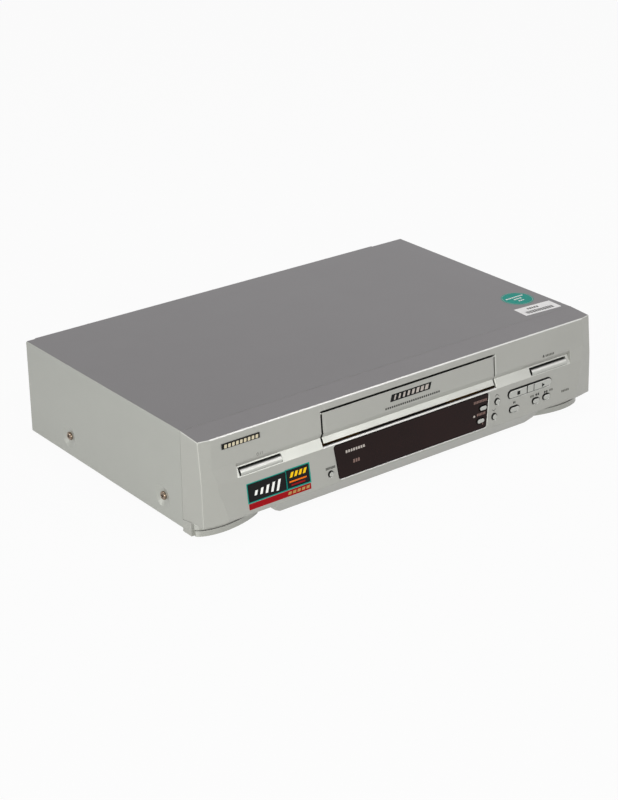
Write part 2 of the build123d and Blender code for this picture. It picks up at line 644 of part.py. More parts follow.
def scart_sockets():
    """Two audio and video sockets: a flanged block, a groove round the core, two rows of contacts."""
    sockets = Part()
    for x in SCART_X:
        body = block(x - 24, x + 24, PANEL_Y - 16, PANEL_Y + 3.6, SCART_Z - 7, SCART_Z + 7)
        flange = block(x - 27, x + 27, PANEL_Y + 0.1, PANEL_Y + 1.4, SCART_Z - 9, SCART_Z + 9)
        rim = [(x - 22.5, SCART_Z - 5.6), (x + 18.5, SCART_Z - 5.6), (x + 22.5, SCART_Z - 1.0),
               (x + 22.5, SCART_Z + 5.6), (x - 22.5, SCART_Z + 5.6)]
        outer = Sketch() + make_face(Polyline(*rim, close=True))
        ring = outer - offset(outer, -1.5)
        socket = body + flange - along_y(ring, 0, 0, PANEL_Y - 6, PANEL_Y + 5)
        for number in range(9):
            slot_x = x - 17.6 + 3.8 * number
            for row in (-2.2, 2.2):
                socket -= block(slot_x - 0.5, slot_x + 0.5, PANEL_Y - 4, PANEL_Y + 5,
                                SCART_Z + row - 1.2, SCART_Z + row + 1.2)
        sockets += socket
    return sockets


def phono_sockets():
    """Three phono sockets: barrels with an insulator, behind a common strip."""
    sockets = block(PHONO_X[0] - 8, PHONO_X[-1] + 8, PANEL_Y - 11.5, PANEL_Y - 1.6, PHONO_Z - 8, PHONO_Z + 8)
    for x in PHONO_X:
        sockets += rod_y(x, PANEL_Y - 2, PANEL_Y + 1.2, PHONO_Z, 5.2)
        sockets += rod_y(x, PANEL_Y - 2, PANEL_Y + 9.0, PHONO_Z, 4.15)
        sockets -= rod_y(x, PANEL_Y + 5.0, PANEL_Y + 10.0, PHONO_Z, 3.5)
        sockets += rod_y(x, PANEL_Y + 4.0, PANEL_Y + 8.6, PHONO_Z, 2.9)
        sockets -= rod_y(x, PANEL_Y + 1.0, PANEL_Y + 10.0, PHONO_Z, 1.6)
    return sockets


def aerial_sockets():
    """Aerial in, a socket with a receptacle, and aerial out, a barrel with a pin."""
    low, high = AERIAL_Z
    base = PANEL_Y - CAN_BACK
    sockets = rod_y(AERIAL_X, base, REAR_REACH_Y - 1, high, 6.4)
    sockets -= rod_y(AERIAL_X, base + 1.5, REAR_REACH_Y + 1, high, 4.8)
    tube = rod_y(AERIAL_X, base, REAR_REACH_Y - 2.4, high, 2.0)
    tube -= rod_y(AERIAL_X, base + 4, REAR_REACH_Y + 1, high, 1.2)
    sockets += tube
    sockets += rod_y(AERIAL_X, base, PANEL_Y + 1.8, low, 6.4)
    sockets += rod_y(AERIAL_X, base, REAR_REACH_Y, low, 4.75)
    sockets -= rod_y(AERIAL_X, base + 2.5, REAR_REACH_Y + 1, low, 4.1)
    sockets += rod_y(AERIAL_X, base, REAR_REACH_Y - 0.8, low, 1.15)
    return sockets


def tuner_can():
    """The screened tuner behind the aerial sockets, on legs."""
    can = block(AERIAL_X - 17, AERIAL_X + 17, PANEL_Y - 56, PANEL_Y - CAN_BACK, 12, 76)
    can = fillet(can.edges().filter_by(Axis.Z), 1.0)
    for x in (-17, 17):
        for y in (-54, -6):
            foot_x = AERIAL_X + x
            inner = foot_x - 3 if x > 0 else foot_x
            can += block(inner, inner + 3, PANEL_Y + y - 2, PANEL_Y + y + 2, 9.7, 12.2)
    return can


def mains_inlet():
    """The two-pin mains inlet: a flanged well of figure-eight form with two pins."""
    x, z = INLET
    inlet = block(x - 12.4, x + 12.4, PANEL_Y - 14, PANEL_Y + 0.2, z - 7.4, z + 7.4)
    inlet += block(x - 15.5, x + 15.5, PANEL_Y + 0.1, PANEL_Y + 2.0, z - 9.5, z + 9.5)
    well = SlotOverall(16.4, 7.8)
    inlet -= along_y(well, x, z, PANEL_Y - 11, PANEL_Y + 3)
    for side in (-1, 1):
        pin = rod_y(x + side * 4.3, PANEL_Y - 12, PANEL_Y - 2.4, z, 1.2)
        tag = block(x + side * 4.3 - 0.4, x + side * 4.3 + 0.4, PANEL_Y - 18, PANEL_Y - 13, z - 2, z + 2)
        inlet += pin + tag
    return inlet


# ------------------------------------------------------------------ boards

PCB = 1.6
PCB_Z = 8.0


def board_pillars(points):
    """Short pillars from the pan to a board."""
    pillars = Part()
    for x, y in points:
        pillars += post(x, y, PAN_Z + 1.0, PCB_Z, 2.6)
    return pillars


def main_board():
    """The signal board: along the right-hand side and across the back, round the deck."""
    outline = [(124, -96), (206, -96), (206, 120), (-106, 120), (-106, 86), (124, 86)]
    board = along_z(outline, PCB_Z, PCB_Z + PCB)
    for x, y in ((130, -90), (200, -90), (200, 20), (-98, 112), (20, 112), (130, 112)):
        board -= post(x, y, PCB_Z - 1, PCB_Z + PCB + 1, 1.6)
        board += board_pillars([(x, y)]) - post(x, y, 0, PCB_Z + 1, 1.4)
    return board


def board_parts():
    """Chips, electrolytic capacitors and connectors on the signal board."""
    top = PCB_Z + PCB
    parts = Part()
    for x, y, wide, deep, tall in ((150, -60, 28, 28, 2.6), (178, -20, 20, 14, 2.6), (146, 0, 14, 20, 2.6),
                                   (-60, 103, 20, 14, 2.6), (176, 24, 24, 10, 6), (30, 98, 40, 7, 9),
                                   (140, 60, 12, 30, 8)):
        parts += block(x - wide / 2, x + wide / 2, y - deep / 2, y + deep / 2, top, top + tall)
    for number in range(5):
        parts += post(134 + 15 * number, -82, top, top + 12, 4)
        parts += post(-88 + 13 * number, 92, top, top + 9, 3.2)
    for number in range(3):
        parts += post(196, -50 + 22 * number, top, top + 16, 5)
    return parts


def power_board():
    board = block(-206, -112, -70, 110, PCB_Z, PCB_Z + PCB)
    for x, y in ((-200, -64), (-118, -64), (-200, 104), (-118, 104)):
        board -= post(x, y, PCB_Z - 1, PCB_Z + PCB + 1, 1.6)
        board += board_pillars([(x, y)]) - post(x, y, 0, PCB_Z + 1, 1.4)
    return board


def transformer():
    """The switching transformer: a ferrite core round a wound bobbin."""
    top = PCB_Z + PCB
    x, y = -160, 20
    core = block(x - 17, x + 17, y - 6, y + 6, top + 3, top + 33)
    core -= block(x - 12, x + 12, y - 7, y + 7, top + 8, top + 28)
    winding = block(x - 11.8, x + 11.8, y - 13, y + 13, top + 6, top + 30)
    winding = fillet(winding.edges().filter_by(Axis.Z), 4.0)
    base = block(x - 18, x + 18, y - 14, y + 14, top, top + 3)
    return core + winding + base


def heat_sink():
    """A finned aluminium plate for the power transistor."""
    top = PCB_Z + PCB
    sink = block(-144, -120, 58, 61, top, top + 44)
    for number in range(5):
        x = -143 + 5.2 * number
        sink += block(x, x + 1.4, 60, 74, top, top + 44)
    return sink


def power_parts():
    """Mains capacitor, smoothing capacitors, fuse and choke."""
    top = PCB_Z + PCB
    parts = post(-186, 60, top, top + 34, 12)
    parts += post(-186, -10, top, top + 22, 8) + post(-186, -34, top, top + 22, 8)
    parts += post(-134, -30, top, top + 18, 6) + post(-134, -14, top, top + 18, 6)
    parts += block(-166, -146, -60, -50, top, top + 12)
    parts += rod_y(-196, 84, 104, top + 5, 2.6) + block(-199, -193, 82, 86, top, top + 6)
    parts += block(-199, -193, 102, 106, top, top + 6)
    parts += block(-176, -150, 84, 102, top, top + 24)
    return parts


def front_board():
    """The upright operation board behind the fascia, with a switch behind every button."""
    low, high, step = 16.0, 45.0, 59.0
    board = block(-192, 192, BOARD_Y, BOARD_Y + PCB, low, high)
    for side in (-1, 1):
        board += block(side * 192, side * 118, BOARD_Y, BOARD_Y + PCB, high - 1, step)
    places = [(x, z) for x, z, _ in (*FACE_BUTTONS.values(), *WINDOW_BUTTONS.values())]
    places += [(middle, PILL_Z) for middle, _ in PILL_KEYS.values()]
    places += [((left + right) / 2, sum(BAR_Z) / 2) for left, right in BAR_BUTTONS.values()]
    for x, z in places:
        board += block(x - 3, x + 3, BOARD_Y - 3.5, BOARD_Y, z - 3, z + 3)
        board += rod_y(x, SWITCH_Y, BOARD_Y - 3.4, z, 1.7)
    return board


def display_tube():
    """The fluorescent display behind the window: a flat glass box with a sealed tip."""
    tube = block(-46, 50, BOARD_Y - 8.0, BOARD_Y - 0.4, 19, 44)
    tube = fillet(tube.edges().filter_by(Axis.Y), 1.2)
    return tube + rod_x(50, 55, BOARD_Y - 4.2, 24, 1.8)


# ------------------------------------------------------------------ deck

def deck_plate():
    """The pressed chassis of the deck, with skirts that stand on the pan, slots and pivots."""
    x0, x1 = DECK_X - 106, DECK_X + 108
    plate = block(x0, x1, DECK_FRONT_Y, 78, DECK_Z, DECK_TOP)
    for x in (x0, x1 - 1.2):
        plate += block(x, x + 1.2, DECK_FRONT_Y, 78, PAN_Z + 1.0, DECK_Z + 0.2)
    for side in (-1, 1):
        plate -= arm_slot(side)
    plate -= post(DECK_X, LOAD_Y, DECK_Z - 1, DECK_TOP + 1, 1.2)
    plate -= post(*CAPSTAN, DECK_Z - 1, DECK_TOP + 1, 6.2)
    for x in (-REEL_SPACING / 2, REEL_SPACING / 2):
        plate += post(DECK_X + x, REEL_Y, DECK_TOP - 0.4, 37.4, 1.5)
    plate += post(*IDLER_PIVOT, DECK_TOP - 0.4, 25.2, 1.5)
    plate += post(*PINCH_PIVOT, DECK_TOP - 0.4, 29.0, 2.0)
    plate += post(*TENSION_PIVOT, DECK_TOP - 0.4, 25.0, 1.8)
    for side in (-1, 1):
        plate += post(DECK_X + side * WHEEL_X, WHEEL_Y, LEVEL_B[0] - 1.2, DECK_Z + 0.2, 1.6)
    return plate


def arc_points(radius, start, end, steps=10):
    """Points of an arc about the loading axis, in plan."""
    return [(DECK_X + radius * cos(radians(start + (end - start) * k / steps)),
             LOAD_Y + radius * sin(radians(start + (end - start) * k / steps))) for k in range(steps + 1)]


ARM_START = 224.0            # angle of the supply arm at rest, and at the end of loading
ARM_END = 145.7


def arm_slot(side):
    """The curved slot that one guide post runs in."""
    half = 3.6
    start, end = (ARM_END, ARM_START) if side < 0 else (180 - ARM_START, 180 - ARM_END)
    margin = degrees(1.2 / ARM_R)
    outline = arc_points(ARM_R + half, start - margin, end + margin)
    outline += arc_points(ARM_R - half, start - margin, end + margin)[::-1]
    slot = along_z(outline, DECK_Z - 1, DECK_TOP + 1)
    for angle in (start - margin, end + margin):
        x = DECK_X + ARM_R * cos(radians(angle))
        y = LOAD_Y + ARM_R * sin(radians(angle))
        slot += post(x, y, DECK_Z - 1, DECK_TOP + 1, half)
    return slot


WHEEL_TEETH = 40
HUB_TEETH = 28
MODULE = 1.0
WHEEL_R = WHEEL_TEETH * MODULE / 2
HUB_R = HUB_TEETH * MODULE / 2
WORM_R = 3.5
WHEEL_X = WHEEL_R + WORM_R + 0.35               # wheel centre from the worm's axis
WHEEL_Y = LOAD_Y + ((WHEEL_R + HUB_R) ** 2 - WHEEL_X ** 2) ** 0.5
WHEEL_ANGLE = degrees(atan2(WHEEL_Y - LOAD_Y, WHEEL_X))     # from the arms' axis to a wheel
LEVEL_A = (13.0, 15.2)
LEVEL_B = (9.8, 12.0)
WORM_Z = 12.5
WORM_PITCH = pi * MODULE


def loading_arm(side):
    """A geared hub, an arm and a guide post with its roller. Both arms turn on one axis."""
    angle = ARM_START if side < 0 else 180 - ARM_START
    tip = (DECK_X + ARM_R * cos(radians(angle)), LOAD_Y + ARM_R * sin(radians(angle)))
    if side < 0:
        first = 180 - WHEEL_ANGLE
        level, arm = LEVEL_A, (15.4, 16.6)
        hub = gear(DECK_X, LOAD_Y, *level, HUB_TEETH, MODULE, first, 3.0 + RUN)
        hub += post(DECK_X, LOAD_Y, level[0], arm[1], 6.5) - post(DECK_X, LOAD_Y, 0, 30, 3.0 + RUN)
        bore = 3.0 + RUN
    else:
        first = WHEEL_ANGLE + 180 / HUB_TEETH
        level, arm = LEVEL_B, (16.7, 17.7)
        bore = 1.2 + RUN
        hub = gear(DECK_X, LOAD_Y, *level, HUB_TEETH, MODULE, first, bore)
        hub += post(DECK_X, LOAD_Y, level[0], arm[1], 3.0) - post(DECK_X, LOAD_Y, 0, 30, bore)
        hub += post(DECK_X, LOAD_Y, arm[0], arm[1], 6.5) - post(DECK_X, LOAD_Y, 0, 30, bore)
    bar = Pos(DECK_X, LOAD_Y, arm[0]) * Rot(0, 0, angle) * extrude(
        Pos(ARM_R / 2, 0) * SlotCenterToCenter(ARM_R, 9.0), amount=arm[1] - arm[0])
    bar -= post(DECK_X, LOAD_Y, 0, 30, bore)
    shaft = post(*tip, arm[0], 24.0, 3.0)
    base = post(*tip, 20.0, 23.0, 5.0)
    roller = post(*tip, 23.0, 26.5, 3.9) + post(*tip, 26.0, 45.0, 2.6) + post(*tip, 44.0, 47.4, 3.9)
    return hub + bar + shaft + base + roller


def loading_axle():
    """The fixed pin that both loading arms turn on."""
    return post(DECK_X, LOAD_Y, PAN_Z + 1.0, DECK_TOP, 1.2)


def loading_wheel(side):
    """A worm wheel that drives one loading arm."""
    x = DECK_X + side * WHEEL_X
    to_axis = -WHEEL_ANGLE if side < 0 else 180 + WHEEL_ANGLE
    first = to_axis + 180 / WHEEL_TEETH if side < 0 else to_axis
    level = LEVEL_A if side < 0 else LEVEL_B
    wheel = gear(x, WHEEL_Y, *level, WHEEL_TEETH, MODULE, first, 1.6 + RUN)
    wheel += post(x, WHEEL_Y, LEVEL_B[0] - 0.6, LEVEL_A[1], 4.0)
    return wheel - post(x, WHEEL_Y, 0, 30, 1.6 + RUN)


def worm_start():
    """Y of a thread crest on the left of the worm: the gap of the left wheel nearest its middle."""
    step = 360 / WHEEL_TEETH
    first = -WHEEL_ANGLE + step / 2
    gap = (first + step / 2) % step
    if gap > step / 2:
        gap -= step
    return WHEEL_Y + WHEEL_R * sin(radians(gap))


def worm():
    """The worm between the two wheels, with the shaft that runs into the loading motor."""
    turns = 4
    length = WORM_PITCH * turns
    core_r = WORM_R - 1.0
    path = Helix(pitch=WORM_PITCH, height=length, radius=core_r - 0.1)
    tooth = make_face(Polyline((0, -0.5), (1.5, -0.25), (1.5, 0.25), (0, 0.5), close=True))
    plane = Plane(origin=path @ 0, x_dir=(1, 0, 0), z_dir=(0, -1, 0))
    thread = sweep(plane * tooth, path=path, is_frenet=True)
    body = Pos(0, 0, length / 2) * Cylinder(core_r, length + 4) + thread
    front = worm_start() - 1.5 * WORM_PITCH
    shaft_end = MOTOR_Y + 13 - front
    body += Pos(0, 0, (length + shaft_end) / 2) * Cylinder(0.75, shaft_end - length)
    return Pos(DECK_X, front, WORM_Z) * Rot(-90, 0, 0) * body


def loading_motor():
    """The flat-sided loading motor and its bracket."""
    y0 = MOTOR_Y
    can = rod_y(DECK_X, y0, y0 + 20, WORM_Z, 7.4) & block(-50, 50, 0, 200, WORM_Z - 5.4, WORM_Z + 5.4)
    plate = block(DECK_X - 9.5, DECK_X + 9.5, y0 - 1.2, y0, PAN_Z + 1.0, DECK_Z)
    plate -= rod_y(DECK_X, y0 - 4, y0 + 2, WORM_Z, 1.6)
    can -= rod_y(DECK_X, y0 - 1, y0 + 14, WORM_Z, 0.75 + RUN)
    return can + plate


MOTOR_Y = WHEEL_Y + 17.2                        # front of the loading motor's can


def drum_frame(shape):
    """Tips a shape built on the Z axis at the origin over to the drum's leaning axis."""
    return Pos(DECK_X, DRUM_Y, 21.6) * Rot(0, DRUM_TILT, 0) * shape


def lower_drum():
    """The fixed half of the head drum, with its tape ramp and foot."""
    body = Pos(0, 0, 10.2) * Cylinder(DRUM_R, 15.6)
    body -= Pos(0, 0, 17) * Cylinder(27.5, 6)
    body += Pos(0, 0, 9) * Cylinder(7.0, 13)
    body -= Pos(0, 0, 10) * Cylinder(3.0 + RUN, 30)
    ramp = Pos(0, 0, 4.4) * Cylinder(DRUM_R + 1.6, 4.0) - Pos(0, 0, 4.4) * Cylinder(DRUM_R - 1, 5)
    body += ramp & Pos(0, -40, 4) * Box(90, 80, 20)
    drum = drum_frame(body)
    base = post(DECK_X, DRUM_Y, DECK_TOP, 24.5, 24) - drum_frame(Pos(0, 0, 10) * Cylinder(3.4, 60))
    return drum + base


def upper_drum():
    """The turning half of the head drum, with two head windows, its shaft and the rotor on top."""
    body = Pos(0, 0, 26.3) * Cylinder(DRUM_R, 15.4)
    body = fillet(body.edges().sort_by(Axis.Z)[-1], 0.8)
    body -= Pos(0, 0, 33.2) * Cylinder(25, 3.2)
    body += Pos(0, 0, 33.4) * Cylinder(11, 5.0)
    for turn in (0, 180):
        body -= Rot(0, 0, turn) * Pos(DRUM_R, 0, 19.6) * Box(6, 5, 2.4)
    body += Pos(0, 0, 17) * Cylinder(3.0, 20)
    for turn in range(0, 360, 120):
        body += Rot(0, 0, turn) * Pos(16, 0, 32.4) * Cylinder(2.4, 2.4)
    return drum_frame(body)


def capstan_motor():
    """The fixed half of the capstan motor: coil plate and bearing housing."""
    x, y = CAPSTAN
    plate = block(x - 22, x + 20, y - 22, y + 24, 13.4, 14.6)
    housing = post(x, y, 13.4, 20.8, 6.0)
    motor = plate + housing
    for turn in range(0, 360, 60):
        cx, cy = x + 14 * cos(radians(turn)), y + 14 * sin(radians(turn))
        motor += post(cx, cy, 12.9, 13.6, 5.2)
    for dx, dy in ((-19, -19), (17, -19), (-7, 21), (17, 21)):
        motor += post(x + dx, y + dy, 14.4, DECK_Z, 2.4)
    return motor - post(x, y, 5, 60, 2.0 + RUN)


def capstan_rotor():
    """The flywheel with its magnet ring, and the capstan itself."""
    x, y = CAPSTAN
    wheel = post(x, y, 6.2, 12.0, 24) - post(x, y, 8.4, 12.5, 21.5)
    ring = post(x, y, 8.2, 12.0, 21.6) - post(x, y, 8.0, 12.5, 8.0)
    return wheel + ring + post(x, y, 6.2, 50.0, 2.0)


def reel_table(side):
    """A reel table: toothed rim, platform and a three-winged spindle."""
    x, y = DECK_X + side * REEL_SPACING / 2, REEL_Y
    table = gear(x, y, 20.0, 22.0, 42, 1.0, 0, 1.0)
    table += post(x, y, 21.8, 24.4, 15.5) + post(x, y, 20.0, 38.0, 4.4)
    for turn in (30, 150, 270):
        wing = Rot(0, 0, turn) * Pos(4.4, 0, 31.0) * Box(4.6, 1.6, 13.5)
        table += Pos(x, y, 0) * wing
    table += Pos(x, y, 39.0) * Cone(4.4, 2.4, 2.4)
    return table - post(x, y, 15, 37.6, 1.5 + RUN)


IDLER_ARM = 24.0


def idler_arm():
    """The swinging arm between the reels, with the gear's pin."""
    x, y = IDLER_PIVOT
    bar = Rot(0, 0, 90) * SlotCenterToCenter(IDLER_ARM, 8.0)
    arm = Pos(x, y - IDLER_ARM / 2, 22.7) * extrude(bar, amount=1.4)
    arm += post(x, y, 20.0, 24.6, 4.0)
    arm -= post(x, y, 15, 30, 1.5 + RUN)
    return arm + post(x, y - IDLER_ARM, 19.9, 22.9, 1.5)


def idler_gear():
    x, y = IDLER_PIVOT[0], IDLER_PIVOT[1] - IDLER_ARM
    return gear(x, y, 20.2, 22.4, 28, 1.0, 0, 1.5 + RUN)


PINCH_ARM = 30.4
PINCH_REST = -159.7


def pinch_place():
    """The pinch roller's axis with the arm at rest."""
    angle = radians(PINCH_REST)
    return PINCH_PIVOT[0] + PINCH_ARM * cos(angle), PINCH_PIVOT[1] + PINCH_ARM * sin(angle)


def pinch_arm():
    x, y = PINCH_PIVOT
    arm = Pos(x, y, 21.4) * Rot(0, 0, PINCH_REST) * extrude(
        Pos(PINCH_ARM / 2, 0) * SlotCenterToCenter(PINCH_ARM, 7.4), amount=2.2)
    arm += post(x, y, 19.8, 27.6, 4.4)
    arm -= post(x, y, 15, 35, 2.0 + RUN)
    return arm + post(*pinch_place(), 21.6, 44.4, 1.5)


def pinch_roller():
    """The rubber roller and its sleeve."""
    x, y = pinch_place()
    roller = fillet(post(x, y, 24.4, 43.0, 7.0).edges(), 0.6)
    return roller - post(x, y, 20, 50, 1.5 + RUN)


def tension_arm():
    """The back-tension arm with its upright post, on the supply side."""
    x, y = TENSION_PIVOT
    tip = (DECK_X - 62.5, 12.0)
    reach = hypot(tip[0] - x, tip[1] - y)
    angle = degrees(atan2(tip[1] - y, tip[0] - x))
    arm = Pos(x, y, 21.0) * Rot(0, 0, angle) * extrude(
        Pos(reach / 2, 0) * SlotCenterToCenter(reach, 6.0), amount=1.4)
    arm += post(x, y, 19.8, 23.6, 3.6)
    arm -= post(x, y, 15, 30, 1.8 + RUN)
    return arm + post(*tip, 21.2, 46.0, 1.4) + post(*tip, 44.6, 46.0, 2.4)


def erase_head():
    """The full-erase head on its base, on the supply side."""
    x, y = DECK_X - 66, 40
    head = block(x - 6, x + 6, y - 5, y + 5, 27, 46)
    head = fillet(head.edges().filter_by(Axis.Z).sort_by(Axis.X)[-2:], 3.0)
    return head + post(x, y, DECK_TOP, 27.2, 4.0)


def control_head():
    """The audio and control head on its adjusting plate, with three screws."""
    x, y = DECK_X + 64, 44
    head = block(x - 5.5, x + 5.5, y - 6, y + 6, 30, 48)
    head = fillet(head.edges().filter_by(Axis.Z).sort_by(Axis.X)[:2], 3.0)
    plate = block(x - 8, x + 12, y - 8, y + 12, 27.6, 29.2)
    block_base = block(x - 5, x + 9, y - 5, y + 9, DECK_TOP, 25.0)
    head += block(x - 5.5, x + 5.5, y - 6, y + 6, 29.0, 31) + plate + block_base
    for dx, dy in ((-5, 9), (9, -5), (9, 9)):
        head += post(x + dx, y + dy, 24.0, 31.4, 1.5)
    return head


# ------------------------------------------------------------------ cassette carriage

HOLD_HALF = CASSETTE[0] / 2 + 0.6     # inner half width of the cassette holder
HOLDER_Y = (-114.0, -65.0)
HOLDER_ROOF_Y = -96.0                 # the roof starts behind the open flap
HOLDER_PINS_Y = (-83.0, -72.0)
HOLDER_PIN_Z = 62.0
YOKE_PIN_Z = 70.0
YOKE_Y = (-90.0, -65.0)


def cassette_holder():
    """The steel cage that takes the cassette's two edges, with guide pins on both sides."""
    front, rear = HOLDER_Y
    low, high = READY_Z - 0.2, READY_Z + CASSETTE[2] + 0.4
    half = HOLD_HALF
    holder = block(DECK_X - half - 1, DECK_X + half + 1, HOLDER_ROOF_Y, rear, high, high + 1.0)
    holder -= block(DECK_X - 50, DECK_X + 50, -90, -72, high - 1, high + 2)
    for side in (-1, 1):
        inner, outer = DECK_X + side * half, DECK_X + side * (half + 1)
        wall = [(front + 2.8, low - 1), (rear, low - 1), (rear, high + 0.5),
                (HOLDER_ROOF_Y - 1.5, high + 0.5)]
        holder += along_x(wall, min(inner, outer), max(inner, outer))
        ledge_in = DECK_X + side * (half - 11)
        holder += block(ledge_in, outer, front, rear, low - 1, low)
        stop_in = DECK_X + side * (half - 5)
        holder += block(stop_in, outer, rear - 1, rear, low - 1, high + 0.5)
        for y in HOLDER_PINS_Y:
            holder += rod_x(DECK_X + side * (half + 0.4), DECK_X + side * (half + 3.6), y, HOLDER_PIN_Z, 1.5)
    return holder


def carriage_yoke():
    """Two slotted plates joined over the top, which carry the holder back and let it down."""
    front, rear = YOKE_Y
    near, far = HOLD_HALF + 2.0, HOLD_HALF + 3.2
    yoke = block(DECK_X - far, DECK_X + far, rear - 7, rear, 76.0, 77.2)
    for side in (-1, 1):
        x0, x1 = sorted((DECK_X + side * near, DECK_X + side * far))
        plate = block(x0, x1, front, rear, 35.0, 77.2)
        for y in HOLDER_PINS_Y:
            top, low = HOLDER_PIN_Z + 1.6, HOLDER_PIN_Z - CARRY_DOWN - 1.6
            plate -= block(x0 - 1, x1 + 1, y - 1.6, y + 1.6, low, top)
        yoke += plate
        for y in (front + 4, rear - 4):
            yoke += rod_x(DECK_X + side * (near + 0.2), DECK_X + side * (far + 3.4), y, YOKE_PIN_Z, 1.5)
    return yoke


def carriage_frame():
    """The fixed side brackets with their slots, and the stay that joins them."""
    near, far = HOLD_HALF + 4.6, HOLD_HALF + 5.8
    frame = block(DECK_X - far, DECK_X + far, -34, -14, 80.0, 81.2)
    for side in (-1, 1):
        x0, x1 = sorted((DECK_X + side * near, DECK_X + side * far))
        bracket = block(x0, x1, DECK_FRONT_Y, 2, DECK_TOP, 81.2)
        slot_front = YOKE_Y[0] + 4 - 1.6
        slot_rear = YOKE_Y[1] - 4 + CARRY_BACK + 1.6
        bracket -= block(x0 - 1, x1 + 1, slot_front, slot_rear, YOKE_PIN_Z - 1.6, YOKE_PIN_Z + 1.6)
        bracket -= block(x0 - 1, x1 + 1, -94, -20, 26, 60)
        foot0, foot1 = sorted((DECK_X + side * near, DECK_X + side * (near + 5.4)))
        frame += bracket + block(foot0, foot1, DECK_FRONT_Y, 2, DECK_TOP, DECK_TOP + 1.2)
    return frame


# ------------------------------------------------------------------ write every node

keep("front_panel", front_panel())
keep("display_window", display_window())
keep("badge_plate", badge_plate())
keep("cassette_door", cassette_door() + spring_stub())
keep("door_spring", door_spring())
for name, (x, z, outline) in FACE_BUTTONS.items():
    keep(name, hole_button(x, z, outline))
keep("stop_button", pill_button("stop_button"))
keep("play_button", play_button())
for name, (x, z, outline) in WINDOW_BUTTONS.items():
    keep(name, hole_button(x, z, outline, WALL + 1.3))
for name, (left, right) in BAR_BUTTONS.items():
    keep(name, bar_button(left, right))
keep("top_cover", top_cover())
keep("bottom_pan", bottom_pan())
keep("rubber_feet", rubber_feet())
keep("cover_screws", cover_screws())
keep("rear_panel", rear_panel())
keep("scart_sockets", scart_sockets())
keep("phono_sockets", phono_sockets())
keep("aerial_sockets", aerial_sockets())
keep("tuner_can", tuner_can())
keep("mains_inlet", mains_inlet())
keep("main_board", main_board())
keep("board_parts", board_parts())
keep("power_board", power_board())
keep("power_parts", power_parts())
keep("transformer", transformer())
keep("heat_sink", heat_sink())
keep("front_board", front_board())
keep("display_tube", display_tube())
keep("deck_plate", deck_plate())
keep("loading_axle", loading_axle())
keep("supply_loading_arm", loading_arm(-1))
keep("takeup_loading_arm", loading_arm(1))
keep("supply_loading_wheel", loading_wheel(-1))
keep("takeup_loading_wheel", loading_wheel(1))
keep("worm", worm())
keep("loading_motor", loading_motor())
keep("lower_drum", lower_drum())
keep("upper_drum", upper_drum())
keep("capstan_motor", capstan_motor())
keep("capstan_rotor", capstan_rotor())
keep("supply_reel", reel_table(-1))
keep("takeup_reel", reel_table(1))
keep("idler_arm", idler_arm())
keep("idler_gear", idler_gear())
keep("pinch_arm", pinch_arm())
keep("pinch_roller", pinch_roller())
keep("tension_arm", tension_arm())
keep("erase_head", erase_head())
keep("control_head", control_head())
keep("cassette_holder", cassette_holder())
keep("carriage_yoke", carriage_yoke())
keep("carriage_frame", carriage_frame())
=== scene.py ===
# %% [markdown]
# # Dressing a video cassette recorder
# The construction of the recorder comes ready made, as one mesh for each real piece: fascia, flap,
# keys, cover, sockets and the tape deck inside. This lesson gives every piece its finish, adds what
# is printed or stuck on it, and sets up a plain studio. Units are metres, the recorder faces -Y,
# and its feet stand on z = 0.

# %% Load the recorder
import json
from math import atan2, cos, pi, radians, sin

import bpy
from mathutils import Matrix, Vector


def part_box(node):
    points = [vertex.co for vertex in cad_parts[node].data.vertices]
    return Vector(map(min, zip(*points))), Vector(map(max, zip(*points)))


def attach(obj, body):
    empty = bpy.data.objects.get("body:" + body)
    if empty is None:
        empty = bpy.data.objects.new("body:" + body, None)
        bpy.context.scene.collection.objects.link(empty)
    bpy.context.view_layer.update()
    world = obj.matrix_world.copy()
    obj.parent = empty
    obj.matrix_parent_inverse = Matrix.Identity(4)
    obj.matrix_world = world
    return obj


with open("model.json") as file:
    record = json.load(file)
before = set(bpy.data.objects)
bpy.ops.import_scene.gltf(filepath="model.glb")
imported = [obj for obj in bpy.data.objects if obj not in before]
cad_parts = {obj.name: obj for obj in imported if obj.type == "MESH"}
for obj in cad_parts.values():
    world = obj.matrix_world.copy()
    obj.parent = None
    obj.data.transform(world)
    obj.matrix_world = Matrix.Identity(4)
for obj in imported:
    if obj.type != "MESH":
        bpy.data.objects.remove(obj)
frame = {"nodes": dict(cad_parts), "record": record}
nodes = frame["nodes"]
scene = bpy.context.scene
MM = 0.001
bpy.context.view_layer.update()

# %% [markdown]
# ## The camera
# The recorder is seen from its front left and from above, with a fairly long lens, so that its
# edges stay nearly parallel. A camera is easiest to aim as a turn about the object: azimuth round
# it, elevation above the table, then a small roll and a sideways shift of the whole picture.

# %% Camera
AZIMUTH, ELEVATION, ROLL = radians(-37.80), radians(24.16), radians(-0.387)
AIM = Vector((0.0, 0.010, 0.040))
PAN = Vector((-0.00206, 0.02342, -1.70377))
LENS_MM, SENSOR_MM = 85.33, 36.0
NEAREST_SEEN = 0.05

back = Vector((sin(AZIMUTH) * cos(ELEVATION), -cos(AZIMUTH) * cos(ELEVATION), sin(ELEVATION)))
right = Vector((0, 0, 1)).cross(back).normalized()
up = back.cross(right)
upright = Matrix((right, up, back))
roll = Matrix(((cos(ROLL), sin(ROLL), 0), (-sin(ROLL), cos(ROLL), 0), (0, 0, 1)))
turned = (roll @ upright).transposed()
bpy.ops.object.camera_add()
camera = bpy.context.object
camera.name = "camera"
camera.data.lens = LENS_MM
camera.data.sensor_width = SENSOR_MM
camera.data.clip_start = NEAREST_SEEN
camera.matrix_world = Matrix.Translation(AIM - turned @ PAN) @ turned.to_4x4()
scene.camera = camera
print("camera at", [round(v, 3) for v in camera.location])

